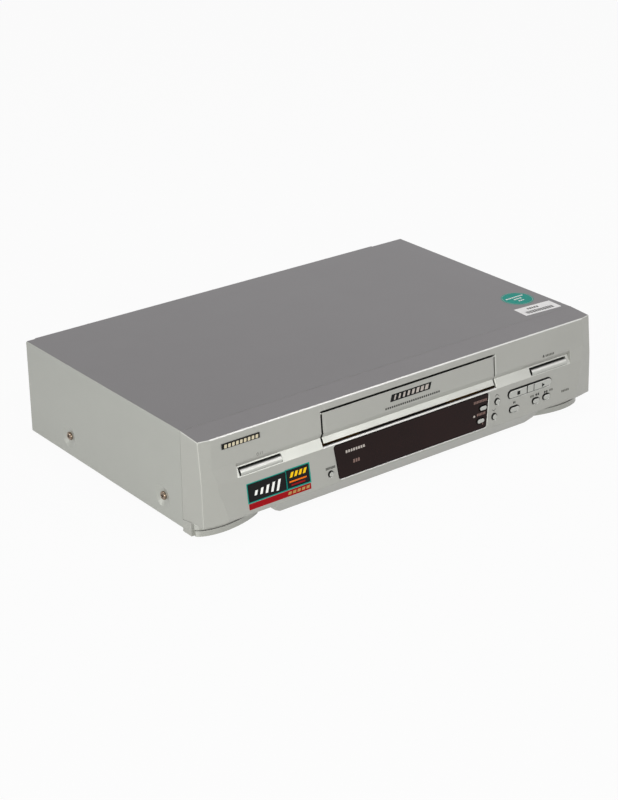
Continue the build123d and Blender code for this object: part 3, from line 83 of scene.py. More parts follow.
# %% [markdown]
# ## Helpers for nodes
# A material is a tree of nodes, and most of its lines would only place a node and link it. A few
# helpers do that, so that the recipes further down read as recipes. A value that is handed to them
# may be a plain number, a colour or another node's output.


# %% Helpers for nodes
def feed(tree, source, socket):
    """Gives a socket a plain value, or links another node's output to it."""
    if isinstance(source, bpy.types.NodeSocket):
        tree.links.new(source, socket)
    else:
        socket.default_value = source


def calculate(tree, operation, *values):
    """The result of a Math node."""
    node = tree.nodes.new("ShaderNodeMath")
    node.operation = operation
    for value, socket in zip(values, node.inputs):
        feed(tree, value, socket)
    return node.outputs[0]


def map_range(tree, value, low, high, to_low=0.0, to_high=1.0):
    """Maps the span from low to high to another span, and what lies beyond it to its ends."""
    node = tree.nodes.new("ShaderNodeMapRange")
    ends = {"Value": value, "From Min": low, "From Max": high, "To Min": to_low, "To Max": to_high}
    for label, source in ends.items():
        feed(tree, source, node.inputs[label])
    return node.outputs["Result"]


def mix_colours(tree, mask, one, other, blend="MIX"):
    """One colour where the mask is 0, and the other, or its blend with the first, where it is 1."""
    node = tree.nodes.new("ShaderNodeMix")
    node.data_type = "RGBA"
    node.blend_type = blend
    for label, source in {"Factor": mask, "A": one, "B": other}.items():
        feed(tree, source, node.inputs[label])
    return node.outputs["Result"]


print("node helpers:", [helper.__name__ for helper in (feed, calculate, map_range, mix_colours)])

# %% [markdown]
# ## The studio floor and the white around it
# A silver product shows best on white, under large soft lamps. The floor is a plain pale sheet. To
# the camera it is almost pure white and still keeps a soft shadow: its material mixes an ordinary
# diffuse surface with a white glow that only the camera and mirror-like surfaces see.
# The world is made in the same way: white to look at, and a dim light for everything else.


# %% Floor
def camera_sees(tree):
    """1 for rays from the camera and for rays that gloss or glass send on, 0 for lighting rays."""
    rays = tree.nodes.new("ShaderNodeLightPath").outputs
    seen = calculate(tree, "MAXIMUM", rays["Is Camera Ray"], rays["Is Glossy Ray"])
    return calculate(tree, "MAXIMUM", seen, rays["Is Transmission Ray"])


def mix_shaders(tree, share, one, other):
    """One shader where the share is 0, the other where it is 1."""
    node = tree.nodes.new("ShaderNodeMixShader")
    for source, socket in zip((share, one.outputs[0], other.outputs[0]), node.inputs):
        tree.links.new(source, socket)
    return node.outputs[0]


FLOOR_RADIUS, FLOOR_SIDES = 6.0, 96
FLOOR_DROP = 0.4 * MM
PAPER_COLOUR = (0.55, 0.55, 0.55, 1)
GLOW_SHARE = 0.95

bpy.ops.object.select_all(action="DESELECT")
bpy.ops.mesh.primitive_circle_add(vertices=FLOOR_SIDES, radius=FLOOR_RADIUS, fill_type="NGON",
                                  location=(0, 0, -FLOOR_DROP))
floor = bpy.context.object
floor.name = "studio_floor"
paper = bpy.data.materials.new("white paper")
paper.use_nodes = True
tree = paper.node_tree
tree.nodes.clear()
sheet = tree.nodes.new("ShaderNodeBsdfDiffuse")
sheet.inputs["Color"].default_value = PAPER_COLOUR
glow = tree.nodes.new("ShaderNodeEmission")
share = calculate(tree, "MULTIPLY", camera_sees(tree), GLOW_SHARE)
out = tree.nodes.new("ShaderNodeOutputMaterial")
tree.links.new(mix_shaders(tree, share, sheet, glow), out.inputs["Surface"])
floor.data.materials.append(paper)
print("floor:", floor.name, "of", FLOOR_RADIUS, "m round the recorder")

# %% World
AMBIENT_COLOUR, AMBIENT_STRENGTH = (1.0, 0.935, 1.0, 1), 0.18
BACKGROUND_COLOUR, BACKGROUND_STRENGTH = (0.9, 0.9, 0.9, 1), 1.0

world = bpy.data.worlds.new("studio")
scene.world = world
world.use_nodes = True
tree = world.node_tree
ambient = tree.nodes["Background"]
ambient.inputs["Color"].default_value = AMBIENT_COLOUR
ambient.inputs["Strength"].default_value = AMBIENT_STRENGTH
white = tree.nodes.new("ShaderNodeBackground")
white.inputs["Color"].default_value = BACKGROUND_COLOUR
white.inputs["Strength"].default_value = BACKGROUND_STRENGTH
shown = mix_shaders(tree, camera_sees(tree), ambient, white)
tree.links.new(shown, tree.nodes["World Output"].inputs["Surface"])
scene.view_settings.view_transform = "Standard"
print("world:", world.name, "with an ambient light of", AMBIENT_STRENGTH)

# %% [markdown]
# ## The lamps
# Large square lamps give soft shadows and broad reflections. One at the front left lights the side
# and the front, a weaker one at the front right evens the front out, and one overhead lights what
# is level. Three small ones are for parts of the case: the front edge, the rear of the left side,
# and the right side, which would otherwise lie in shade when it is looked at.


# %% Lamps
def softbox(name, at, aim, size, watts, colour=(1, 1, 1)):
    """A rectangular lamp at a place, turned towards a point."""
    bpy.ops.object.light_add(type="AREA", location=at)
    lamp = bpy.context.object
    lamp.name = name
    lamp.data.shape = "RECTANGLE"
    lamp.data.size, lamp.data.size_y = size
    lamp.data.energy = watts
    lamp.data.color = colour
    lamp.rotation_euler = (Vector(aim) - Vector(at)).to_track_quat("-Z", "Y").to_euler()
    return lamp


softbox("front left", at=(-1.20, -0.92, 0.26), aim=(-0.05, -0.05, 0.04), size=(0.8, 0.45),
        watts=15.1, colour=(0.98, 1.0, 0.945))
softbox("front right", at=(0.62, -1.34, 0.58), aim=(0, -0.13, 0.05), size=(0.7, 0.3),
        watts=5.7, colour=(0.98, 1.0, 0.965))
softbox("overhead", at=(0, 0.1, 1.6), aim=(0, 0, 0.09), size=(0.9, 0.5), watts=9.0)
softbox("edge light", at=(0.72, -0.72, 1.15), aim=(-0.1, -0.13, 0.086), size=(0.3, 0.25),
        watts=2.1, colour=(1.0, 0.93, 1.0))
softbox("side light", at=(-1.26, 0.51, 0.09), aim=(-0.215, -0.04, 0.03), size=(0.22, 0.14),
        watts=2.4, colour=(0.99, 1.0, 0.97))
right_lamp = softbox("right side", at=(1.30, 0.05, 0.045), aim=(0.215, 0, 0.045),
                     size=(0.6, 0.08), watts=5.5)
right_lamp.visible_camera = False

# %% [markdown]
# ## Shared effects: grain, unevenness and brush lines
# Real surfaces are never one flat value. Six small effects are built once as node groups and used
# in many finishes with their own numbers. The first three are patterns: a fine grain (paint,
# moulding texture), a slow unevenness (handling, age) and brush lines (drawn or ground metal).
# They read Object coordinates, in metres, so that they have the same real scale on every piece.
# Noise seldom reaches 0 or 1, so its middle part is stretched to the whole span.

# %% Groups and noise
NOISE_LOW, NOISE_HIGH = 0.32, 0.68


def new_group(name, inputs, outputs):
    """A node group of plain numbers, with its inner input and output nodes."""
    group = bpy.data.node_groups.new(name, "ShaderNodeTree")
    for label, value in inputs:
        socket = group.interface.new_socket(label, in_out="INPUT", socket_type="NodeSocketFloat")
        socket.default_value = value
    for label in outputs:
        group.interface.new_socket(label, in_out="OUTPUT", socket_type="NodeSocketFloat")
    return group, group.nodes.new("NodeGroupInput"), group.nodes.new("NodeGroupOutput")


def noise_in(group, place, grain_mm, detail, rough=0.5):
    """Noise whose grains have a size in millimetres."""
    noise = group.nodes.new("ShaderNodeTexNoise")
    noise.inputs["Detail"].default_value = detail
    noise.inputs["Roughness"].default_value = rough
    group.links.new(place, noise.inputs["Vector"])
    group.links.new(calculate(group, "DIVIDE", 1 / MM, grain_mm), noise.inputs["Scale"])
    return noise.outputs["Fac"]


print("the part of the noise that is used:", NOISE_LOW, "to", NOISE_HIGH)


# %% Patterns
def fine_pattern(name, label, size_mm, detail, stretch=None):
    """Height and a 0 to 1 mask of a fine noise, which a stretch draws out into lines."""
    group, into, out = new_group(name, [(label, size_mm)], ["Height", "Mask"])
    place = group.nodes.new("ShaderNodeTexCoord").outputs["Object"]
    if stretch:
        mapping = group.nodes.new("ShaderNodeMapping")
        mapping.inputs["Scale"].default_value = stretch
        group.links.new(place, mapping.inputs["Vector"])
        place = mapping.outputs["Vector"]
    value = noise_in(group, place, into.outputs[label], detail)
    group.links.new(value, out.inputs["Height"])
    group.links.new(map_range(group, value, NOISE_LOW, NOISE_HIGH), out.inputs["Mask"])
    return group


def unevenness():
    """A slow value between Low and High, with finer blotches in it."""
    group, into, out = new_group("unevenness", [("Size mm", 60.0), ("Low", 0.0), ("High", 1.0)],
                                 ["Value"])
    place = group.nodes.new("ShaderNodeTexCoord").outputs["Object"]
    value = noise_in(group, place, into.outputs["Size mm"], detail=5.0, rough=0.62)
    spread = map_range(group, value, NOISE_LOW, NOISE_HIGH, into.outputs["Low"],
                       into.outputs["High"])
    group.links.new(spread, out.inputs["Value"])
    return group


GRAIN = fine_pattern("fine grain", "Grain mm", 0.4, detail=2.0)
BRUSH = fine_pattern("brush lines", "Line mm", 0.3, detail=3.0, stretch=(0.02, 1.0, 1.0))
UNEVEN = unevenness()
print("patterns:", GRAIN.name, BRUSH.name, UNEVEN.name)

# %% [markdown]
# ## Shared effects: where a surface faces
# The other three effects are masks read from the surface's own direction. Two of them find what
# faces one way: the front, for pieces that are sprayed from one side only, and straight up, for
# the painted shade on the level top. The third finds narrow edges that lie halfway between two
# directions, as a bevel does, for a painted highlight along them.


# %% Facing masks
def facing_mask(name, way):
    """1 where a surface faces that way, down to 0 where it has turned away from it."""
    group, into, out = new_group(name, [("From", 0.35), ("To", 0.7)], ["Mask"])
    dot = group.nodes.new("ShaderNodeVectorMath")
    dot.operation = "DOT_PRODUCT"
    dot.inputs[1].default_value = way
    group.links.new(group.nodes.new("ShaderNodeTexCoord").outputs["Normal"], dot.inputs[0])
    turn = map_range(group, dot.outputs["Value"], into.outputs["From"], into.outputs["To"])
    group.links.new(turn, out.inputs["Mask"])
    return group


FACING = facing_mask("front facing", (0, -1, 0))
TOP_SHADE_MASK = facing_mask("top_shade", (0, 0, 1))
print("facing masks:", FACING.name, TOP_SHADE_MASK.name)

# %% Painted edge highlights
# How much each pair of directions counts for the painted edge highlight.
EDGE_WEIGHTS = (("X", "Y", 0.84), ("Y", "Z", 1.0), ("X", "Z", 1.0))
DOWN_FROM, DOWN_TO = -0.3, -0.1


def painted_edge_highlights():
    """1 where a surface lies halfway between two main directions, as on a bevel, else 0.

    A highlight is painted where the mask is 1. Edges that look down are left out: they lie in the
    case's own shadow and get no painted highlight. Upright edges count for less, so theirs is
    weaker.
    """
    group, into, out = new_group("painted edge highlights", [("From", 0.37), ("To", 0.5)], ["Mask"])
    split = group.nodes.new("ShaderNodeSeparateXYZ")
    group.links.new(group.nodes.new("ShaderNodeTexCoord").outputs["Normal"], split.inputs[0])
    most = 0.0
    for one, other, weight in EDGE_WEIGHTS:
        both = calculate(group, "MULTIPLY", split.outputs[one], split.outputs[other])
        size = calculate(group, "MULTIPLY", calculate(group, "ABSOLUTE", both), weight)
        most = calculate(group, "MAXIMUM", most, size)
    turn = map_range(group, most, into.outputs["From"], into.outputs["To"])
    upper = map_range(group, split.outputs["Z"], DOWN_FROM, DOWN_TO)
    group.links.new(calculate(group, "MULTIPLY", turn, upper), out.inputs["Mask"])
    return group


EDGE_HIGHLIGHTS = painted_edge_highlights()
print("edge mask:", EDGE_HIGHLIGHTS.name)

# %% [markdown]
# ## The finishes
# One function builds a finish: a base colour that a slow unevenness makes a little lighter and
# darker, a roughness that varies with it, and a grain or brush lines in the bump. What differs
# between silver lacquer, zinc plate, rubber or a board is mostly in these numbers. Colours are
# written as the eye sees them, from 0 to 255, and turned into linear light.


# %% Colours, groups and relief in a material
def linear(rgb):
    """A colour written 0 to 255 as linear light with alpha."""
    shares = [v / 255 for v in rgb]
    return [v / 12.92 if v <= 0.04045 else ((v + 0.055) / 1.055) ** 2.4 for v in shares] + [1.0]


def use(tree, group, **values):
    """A node that holds a group, with its inputs set. A space in a label is written as _."""
    node = tree.nodes.new("ShaderNodeGroup")
    node.node_tree = group
    for label, value in values.items():
        node.inputs[label.replace("_", " ")].default_value = value
    return node


def new_material(name):
    """A material with its node tree and its shader."""
    made = bpy.data.materials.new(name)
    made.use_nodes = True
    return made, made.node_tree, made.node_tree.nodes["Principled BSDF"]


def emboss(tree, shader, height, strength, reach):
    """Lets a pattern of heights bend the light as a relief of that reach would."""
    bump = tree.nodes.new("ShaderNodeBump")
    bump.inputs["Strength"].default_value = strength
    bump.inputs["Distance"].default_value = reach
    tree.links.new(height, bump.inputs["Height"])
    tree.links.new(bump.outputs["Normal"], shader.inputs["Normal"])


print("middle grey, 128 of 255, is", round(linear((128, 128, 128))[0], 3), "in linear light")

# %% Finish builder
# Where the painted shade on level tops begins and where it is full.
TOP_SHADE_FROM, TOP_SHADE_TO = 0.85, 0.98
POLISH_SIZE = 0.4
BUMP_GAIN, BUMP_REACH = 10, 0.1 * MM


def finish(name, rgb, rough, metal=0.0, tint=0.06, vary=0.06, grain=0.35, bump=0.02,
           brushed=False, coat=0.0, coat_rough=0.08, flake=0.0, specular=0.5, size=70.0,
           flank=None, edge_highlight=None, top_shade=None):
    """A procedural finish.

    tint is the share by which the colour varies, vary the roughness span, size that of the
    blotches and grain that of the grain, in millimetres. flake is how far metal flakes vary.
    flank is the colour of the bare material where the sprayed front has turned away to the sides.
    The edge colour is a painted highlight along its bevels, and the level colour a painted shade on
    its level top, darker than the sides.
    """
    made, tree, shader = new_material(name)
    paint = linear(rgb)
    # Painted highlight: bevels get a lighter colour.
    if edge_highlight:
        paint = mix_colours(tree, use(tree, EDGE_HIGHLIGHTS).outputs["Mask"], paint, linear(edge_highlight))
    if flank:
        paint = mix_colours(tree, use(tree, FACING).outputs["Mask"], linear(flank), paint)
    # Painted shade: what faces straight up gets a darker colour.
    if top_shade:
        top_shade_share = use(tree, TOP_SHADE_MASK, From=TOP_SHADE_FROM, To=TOP_SHADE_TO)
        paint = mix_colours(tree, top_shade_share.outputs["Mask"], paint, linear(top_shade))
    slow = use(tree, UNEVEN, Size_mm=size, Low=1.0 - tint, High=1.0 + tint / 2)
    colour = mix_colours(tree, 1.0, paint, slow.outputs["Value"], "MULTIPLY")
    tree.links.new(colour, shader.inputs["Base Color"])
    polish = use(tree, UNEVEN, Size_mm=size * POLISH_SIZE, Low=rough - vary / 2,
                 High=rough + vary / 2)
    tree.links.new(polish.outputs["Value"], shader.inputs["Roughness"])
    fine = use(tree, BRUSH, Line_mm=grain) if brushed else use(tree, GRAIN, Grain_mm=grain)
    emboss(tree, shader, fine.outputs["Height"], bump * BUMP_GAIN, BUMP_REACH)
    if flake:
        sparkle = calculate(tree, "MULTIPLY_ADD", fine.outputs["Mask"], flake, metal - flake / 2)
        tree.links.new(sparkle, shader.inputs["Metallic"])
    else:
        shader.inputs["Metallic"].default_value = metal
    shader.inputs["Coat Weight"].default_value = coat
    shader.inputs["Coat Roughness"].default_value = coat_rough
    shader.inputs["Specular IOR Level"].default_value = specular
    return made


print("finish builder:", finish.__name__, "with relief up to", round(BUMP_REACH / MM, 2), "mm")

# %% [markdown]
# ## Silver lacquer and what is set in the front
# The case is steel and plastic under the same silver lacquer: fine aluminium flakes in a clear
# binder, more paint than metal. Flap and keys are moulded in black and sprayed from the front, so
# their flanks stay dark and outline them. The window is a smoked plate with a hard gloss.

# %% Finishes of the case and the front
# The silver finishes get a painted highlight along their edges, and cover and fascia a painted
# shade on their level tops.
finishes = {
    "cover_paint": finish(
        "silver lacquer on steel", (165, 166, 161), 0.31, metal=0.2, tint=0.03, vary=0.025,
        grain=0.25, bump=0.006, flake=0.05, specular=0.3, size=120, edge_highlight=(176, 178, 172),
        top_shade=(122, 120, 121)),
    "fascia_plastic": finish(
        "silver lacquer on plastic", (168, 168, 163), 0.34, metal=0.2, tint=0.03, grain=0.18,
        bump=0.008, flake=0.1, specular=0.3, size=90, edge_highlight=(208, 209, 205), top_shade=(127, 125, 126)),
    "door_plastic": finish(
        "silver lacquer on the flap", (168, 168, 163), 0.34, metal=0.2, tint=0.03, grain=0.18,
        bump=0.008, flake=0.1, specular=0.3, size=90, flank=(34, 34, 33), edge_highlight=(208, 209, 205)),
    "button_silver": finish(
        "silver lacquer on the keys", (176, 177, 172), 0.36, metal=0.15, tint=0.03, grain=0.15,
        bump=0.006, flake=0.08, coat=0.35, coat_rough=0.14, flank=(24, 24, 24),
        edge_highlight=(214, 214, 210)),
    "smoked_window": finish(
        "smoked window", (28, 10, 8), 0.12, tint=0.25, vary=0.04, grain=1.5, bump=0.002,
        specular=0.14, size=50),
    "badge_ground": finish(
        "black ground of the badge", (14, 14, 13), 0.3, tint=0.15, grain=0.3, bump=0.01,
        specular=0.15, size=12),
    "badge_chrome": finish(
        "polished badge", (214, 204, 176), 0.16, metal=1.0, tint=0.05, grain=0.6, bump=0.004),
}
print("finishes of the case and the front:", len(finishes))

# %% [markdown]
# ## Metals
# Bare metal is all reflection, so its roughness tells one from the other: a turned drum and ground
# shafts are nearly mirrors, zinc plated sheet is cloudy, with the lines of its rolling in it, and
# an extruded heat sink is satin.

# %% Finishes of the metals
finishes |= {
    "zinc_steel": finish(
        "zinc plated sheet", (178, 178, 172), 0.38, metal=0.9, tint=0.14, vary=0.16, grain=0.5,
        bump=0.02, brushed=True, size=25),
    "screw_copper": finish(
        "bronze passivated screw", (138, 121, 106), 0.14, metal=0.95, tint=0.25, vary=0.1,
        grain=0.3, bump=0.02, size=3),
    "phono_metal": finish(
        "plated phono socket", (196, 188, 160), 0.28, metal=0.95, tint=0.1, grain=0.2, bump=0.01,
        size=6),
    "nickel": finish(
        "nickel plate", (190, 187, 178), 0.22, metal=1.0, tint=0.1, vary=0.1, grain=0.25,
        bump=0.01, size=8),
    "heat_aluminium": finish(
        "extruded aluminium", (186, 188, 190), 0.4, metal=1.0, tint=0.1, vary=0.15, grain=0.35,
        bump=0.03, brushed=True, size=15),
    "drum_aluminium": finish(
        "turned aluminium", (200, 200, 202), 0.2, metal=1.0, tint=0.06, vary=0.1, grain=0.12,
        bump=0.02, size=12),
    "shaft_steel": finish(
        "ground steel", (178, 179, 182), 0.18, metal=1.0, tint=0.08, vary=0.08, grain=0.15,
        bump=0.01, size=8),
    "spring_steel": finish(
        "drawn spring wire", (150, 150, 150), 0.3, metal=1.0, tint=0.1, grain=0.1, bump=0.01,
        brushed=True, size=4),
}
print("finishes with the metals:", len(finishes))

# %% [markdown]
# ## Plastics, rubber and electronic parts
# Moulded black plastic, painted sheet and rubber are all close to black. What sets them apart is
# the size and depth of their texture, and how matt they are.

# %% Finishes of the plastics and the rest
finishes |= {
    "black_plastic": finish(
        "moulded black plastic", (26, 26, 27), 0.5, tint=0.15, vary=0.12, grain=0.35, bump=0.05,
        size=20),
    "rear_black": finish(
        "black painted sheet", (40, 40, 41), 0.45, tint=0.12, vary=0.1, grain=0.3, bump=0.05,
        size=60),
    "foot_rubber": finish(
        "rubber foot", (30, 30, 30), 0.85, tint=0.2, vary=0.1, grain=0.4, bump=0.08, size=8),
    "roller_rubber": finish(
        "ground rubber", (24, 24, 25), 0.7, tint=0.2, vary=0.12, grain=0.2, bump=0.05, size=5),
    "white_gear": finish(
        "acetal gear", (224, 221, 208), 0.42, tint=0.08, vary=0.1, grain=0.6, bump=0.01, size=10),
    "component_black": finish(
        "sleeved component", (34, 34, 38), 0.38, tint=0.3, vary=0.2, grain=0.5, bump=0.02, size=9),
    "winding": finish(
        "taped winding", (150, 118, 44), 0.5, tint=0.3, vary=0.1, grain=0.5, bump=0.08,
        brushed=True, size=12),
    "display_glass": finish(
        "display tube glass", (34, 44, 42), 0.06, tint=0.2, vary=0.04, grain=2.0, bump=0.001,
        coat=0.6, coat_rough=0.03, size=15),
}
print("finishes so far:", len(finishes))

# %% [markdown]
# ## A circuit board
# A cheap board is brown paper laminate with a translucent lacquer, through which the copper tracks
# show as paler strips with round ends. A brick pattern, stretched and offset, gives strips of
# different length that turn up nowhere twice, and the unevenness makes them lighter and darker.

# %% Board finish
TRACK_SIZES = {"Scale": 60.0, "Mortar Size": 0.012, "Brick Width": 1.3, "Row Height": 0.12}
TRACK_COLOURS = {"Color1": (122, 96, 50), "Color2": (104, 84, 44), "Mortar": (150, 112, 62)}
TRACK_RELIEF, TRACK_REACH = 0.3, 0.05 * MM

board, tree, shader = new_material("circuit board")
track = tree.nodes.new("ShaderNodeTexBrick")
for label, value in TRACK_SIZES.items():
    track.inputs[label].default_value = value
for label, rgb in TRACK_COLOURS.items():
    track.inputs[label].default_value = linear(rgb)
place = tree.nodes.new("ShaderNodeTexCoord").outputs["Object"]
tree.links.new(place, track.inputs["Vector"])
slow = use(tree, UNEVEN, Size_mm=30.0, Low=0.85, High=1.1)
colour = mix_colours(tree, 1.0, track.outputs["Color"], slow.outputs["Value"], "MULTIPLY")
tree.links.new(colour, shader.inputs["Base Color"])
emboss(tree, shader, track.outputs["Fac"], TRACK_RELIEF, TRACK_REACH)
gloss = use(tree, UNEVEN, Size_mm=8.0, Low=0.25, High=0.4)
tree.links.new(gloss.outputs["Value"], shader.inputs["Roughness"])
finishes["circuit_board"] = board
print("board finish:", board.name)

# %% [markdown]
# ## Putting the finishes on
# The record of the recorder says which material slot each piece has. So one loop dresses all of
# them, and a piece that is added to the record later gets its finish here without a new line.

# %% Dress every piece
slot_of = {part["node"]: part["material_slot"] for part in frame["record"]["subparts"]}
for name, node in nodes.items():
    node.data.materials.clear()
    node.data.materials.append(finishes[slot_of[name]])
nodes["badge_plate"].data.materials[0] = finishes["badge_ground"]
print("dressed:", sorted(set(slot_of.values())))

# %% [markdown]
# ## Flat shapes for print
# Key symbols are printed, a tenth of a millimetre thick at most. Each is cut from flat primitives
# as a sign maker would: bars, triangles, discs and rings. Every function makes one shape lying
# flat about its own origin, u to the right and v up, in millimetres, and gives it its thickness.

# %% Bars
PRINT = 0.06 * MM
CORNER_STEPS = 5


def clear_selection():
    """Operators act on all that is selected, so nothing may be left over."""
    bpy.ops.object.select_all(action="DESELECT")


def thicken(thick=PRINT):
    """Pulls the face of a flat shape up into a solid of that thickness, faces outwards."""
    bpy.ops.mesh.select_all(action="SELECT")
    bpy.ops.mesh.extrude_region_move(TRANSFORM_OT_translate={"value": (0, 0, thick)})
    bpy.ops.mesh.select_all(action="SELECT")
    bpy.ops.mesh.normals_make_consistent(inside=False)
    bpy.ops.object.mode_set(mode="OBJECT")


def bar(u, v, wide, high, slant=0.0, corner=0.0, thick=PRINT):
    """A bar about (u, v), leaning by slant, with corners rounded by corner."""
    clear_selection()
    bpy.ops.mesh.primitive_plane_add(size=1)
    shape = bpy.context.object
    for vertex in shape.data.vertices:
        x, y = vertex.co.x * wide, vertex.co.y * high
        vertex.co = ((u + x + y * slant) * MM, (v + y) * MM, 0)
    bpy.ops.object.mode_set(mode="EDIT")
    if corner:
        bpy.ops.mesh.bevel(offset=corner * MM, segments=CORNER_STEPS, affect="VERTICES")
    thicken(thick)
    return shape


print("a printed shape is", round(PRINT / MM, 2), "mm thick")

# %% Discs and rings
DISC_SIDES, RING_SIDES, TRIANGLE_SIDES = 40, 48, 3


def disc(u, v, radius, sides=DISC_SIDES, turn=0.0):
    """A disc, or a shape with few sides, turned by degrees."""
    clear_selection()
    bpy.ops.mesh.primitive_circle_add(vertices=sides, radius=radius * MM, fill_type="NGON")
    shape = bpy.context.object
    for vertex in shape.data.vertices:
        angle = atan2(vertex.co.y, vertex.co.x) - pi / 2 + radians(turn)
        reach = vertex.co.length
        vertex.co = (u * MM + reach * cos(angle), v * MM + reach * sin(angle), 0)
    bpy.ops.object.mode_set(mode="EDIT")
    thicken()
    return shape


def triangle(u, v, radius, turn=0.0):
    """A triangle that points right, or along turn, in degrees."""
    return disc(u, v, radius, TRIANGLE_SIDES, turn)


def ring(u, v, radius, wide, gap=0.0):
    """A ring, open at its top over gap degrees."""
    clear_selection()
    bpy.ops.mesh.primitive_circle_add(vertices=RING_SIDES, radius=radius * MM, fill_type="NGON")
    shape = bpy.context.object
    bpy.ops.object.mode_set(mode="EDIT")
    bpy.ops.mesh.inset(thickness=wide * MM)
    bpy.ops.mesh.delete(type="FACE")
    bpy.ops.object.mode_set(mode="OBJECT")
    for face in shape.data.polygons:
        angle = atan2(face.center.x, face.center.y)
        face.select = abs(angle) < radians(gap / 2)
    bpy.ops.object.mode_set(mode="EDIT")
    bpy.ops.mesh.delete(type="FACE")
    thicken()
    for vertex in shape.data.vertices:
        vertex.co.x += u * MM
        vertex.co.y += v * MM
    return shape


print("a disc has", DISC_SIDES, "sides, a ring", RING_SIDES)

# %% [markdown]
# ## Laying a mark on a surface
# The shapes of one mark are joined into one mesh. Where a ray sent from the front meets the
# surface, the mark is put down, flat on it. Its place is baked into the mesh, and its object stays
# at the origin, so that patterns on Object coordinates keep their place too.

# %% Joining and laying on
RAY_START = -0.5


def joined(name, shapes):
    """Several shapes as one mesh with a name."""
    clear_selection()
    for shape in shapes:
        shape.select_set(True)
    bpy.context.view_layer.objects.active = shapes[0]
    if len(shapes) > 1:
        bpy.ops.object.join()
    shapes[0].name = name
    shapes[0].data.name = name
    return shapes[0]


def surface_frame(node, x, z):
    """The frame of the surface met from the front at x and z: right, up the surface, outwards."""
    start = Vector((x * MM, RAY_START, z * MM))
    hit, place, normal, _ = nodes[node].ray_cast(start, Vector((0, 1, 0)))
    if not hit:
        raise ValueError(f"nothing of {node} lies behind x {x}, z {z}")
    side = Vector((1, 0, 0))
    side = (side - normal * side.dot(normal)).normalized()
    rise = normal.cross(side)
    grid = Matrix((side, rise, normal)).transposed().to_4x4()
    return Matrix.Translation(place) @ grid


def lay(piece, placed, body, finish_made, lift=0.0):
    """Bakes a place into a mesh, so that its object stays at the origin, and lets it ride."""
    piece.data.transform(placed @ Matrix.Translation((0, 0, lift)))
    piece.matrix_world = Matrix.Identity(4)
    piece.data.materials.clear()
    piece.data.materials.append(finish_made)
    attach(piece, body)
    return piece


middle = surface_frame("display_window", 0, 30).translation
print("the middle of the window is met at", [round(v / MM, 1) for v in middle], "mm")

# %% [markdown]
# ## Inks
# Printing ink is a thin coloured film. All of them come from the finish builder, matt enough to
# keep their depth under the lamps, and slightly uneven, as a printed area is.


# %% Inks
def ink(name, rgb, rough=0.45, size=6):
    """A thin printed colour."""
    return finish(name, rgb, rough, tint=0.08, vary=0.1, grain=0.2, bump=0.008, specular=0.12,
                  size=size)


inks = {
    "dark": ink("dark grey ink", (66, 66, 63), 0.5, 4),
    "faint": ink("pale grey ink", (96, 96, 91), 0.5, 4),
    "black": ink("black ink", (14, 14, 15)),
    "pale": ink("pale ink", (186, 178, 172), 0.5, 4),
    "rose": ink("dim rose ink", (128, 104, 98), 0.5, 4),
    "white": ink("white ink", (246, 246, 244)),
    "teal": ink("teal ink", (14, 146, 132), size=10),
    "red": ink("red ink", (150, 4, 16), size=10),
    "yellow": ink("yellow ink", (250, 200, 20)),
    "orange": ink("orange ink", (236, 112, 20)),
    "sand": ink("sand ink", (178, 140, 84)),
}
print("inks:", len(inks))

# %% [markdown]
# ## Marks on the front
# Each key has the usual symbol of its kind beside it or on it. Where a short word would stand,
# there is a row of plain bars of its width and height, so that the front has its rhythm of small
# print and says nothing.

# %% Symbols
CHEVRON_STEEP, STROKE_LONG, STROKE_WIDE = 0.75, 2.3, 0.55
ARROW_APART, ARROW_SIZE = 1.25, 1.55
BAR_SHARE = 0.68


def dashes(lengths, high, gap, u=0.0, v=0.0):
    """A row of small bars with gaps between them, its middle at (u, v)."""
    total = sum(lengths) + gap * (len(lengths) - 1)
    made = []
    at = u - total / 2
    for length in lengths:
        made.append(bar(at + length / 2, v, length, high))
        at += length + gap
    return made


def chevron(direction):
    """Two strokes that meet in a point, up for 1 and down for -1."""
    strokes = []
    for side in (-1, 1):
        stroke = bar(side, 0, STROKE_LONG, STROKE_WIDE)
        for vertex in stroke.data.vertices:
            lift = CHEVRON_STEEP * MM - side * vertex.co.x * CHEVRON_STEEP
            vertex.co.y += direction * lift
        strokes.append(stroke)
    return strokes


def arrows(turn):
    """Two triangles one behind the other, pointing along turn."""
    return [triangle(u, 0, ARROW_SIZE, turn) for u in (-ARROW_APART, ARROW_APART)]


def word(width, bars, high=2.0):
    """The width of a short printed word, as plain bars."""
    pitch = width / bars
    return dashes([pitch * BAR_SHARE] * bars, high, pitch * (1 - BAR_SHARE))


def mark(name, shapes, node, x, z, colour, body="case"):
    """Joins shapes into a mark and prints it on a node, met from the front at x and z in mm."""
    return lay(joined(name, shapes), surface_frame(node, x, z), body, inks[colour])


print("of a word's pitch, each bar takes", BAR_SHARE)

# %% Marks on the fascia
mark("power_mark", [ring(-1.8, 0, 1.2, 0.3, gap=60), bar(-1.8, 0.8, 0.32, 1.3),
                    bar(0.9, 0, 0.35, 2.2, slant=0.45), bar(2.8, 0, 0.35, 2.2)],
     "front_panel", -157.9, 62.1, "faint")
mark("eject_mark", [triangle(0, 0.35, 1.3, turn=90), bar(0, -0.75, 2.3, 0.5)],
     "front_panel", 155.3, 62.8, "black")
mark("link_mark", word(10.2, 8, 2.2), "front_panel", -89.5, 29.8, "dark")
mark("channel_up_mark", chevron(1), "front_panel", 97.0, 42.6, "dark")
mark("channel_down_mark", chevron(-1), "front_panel", 92.8, 29.9, "dark")
mark("pause_mark", [bar(-0.75, 0, 0.9, 2.1), bar(0.75, 0, 0.9, 2.1)],
     "front_panel", 117.3, 30.4, "black")
mark("rewind_mark", arrows(180), "front_panel", 145.3, 30.4, "black")
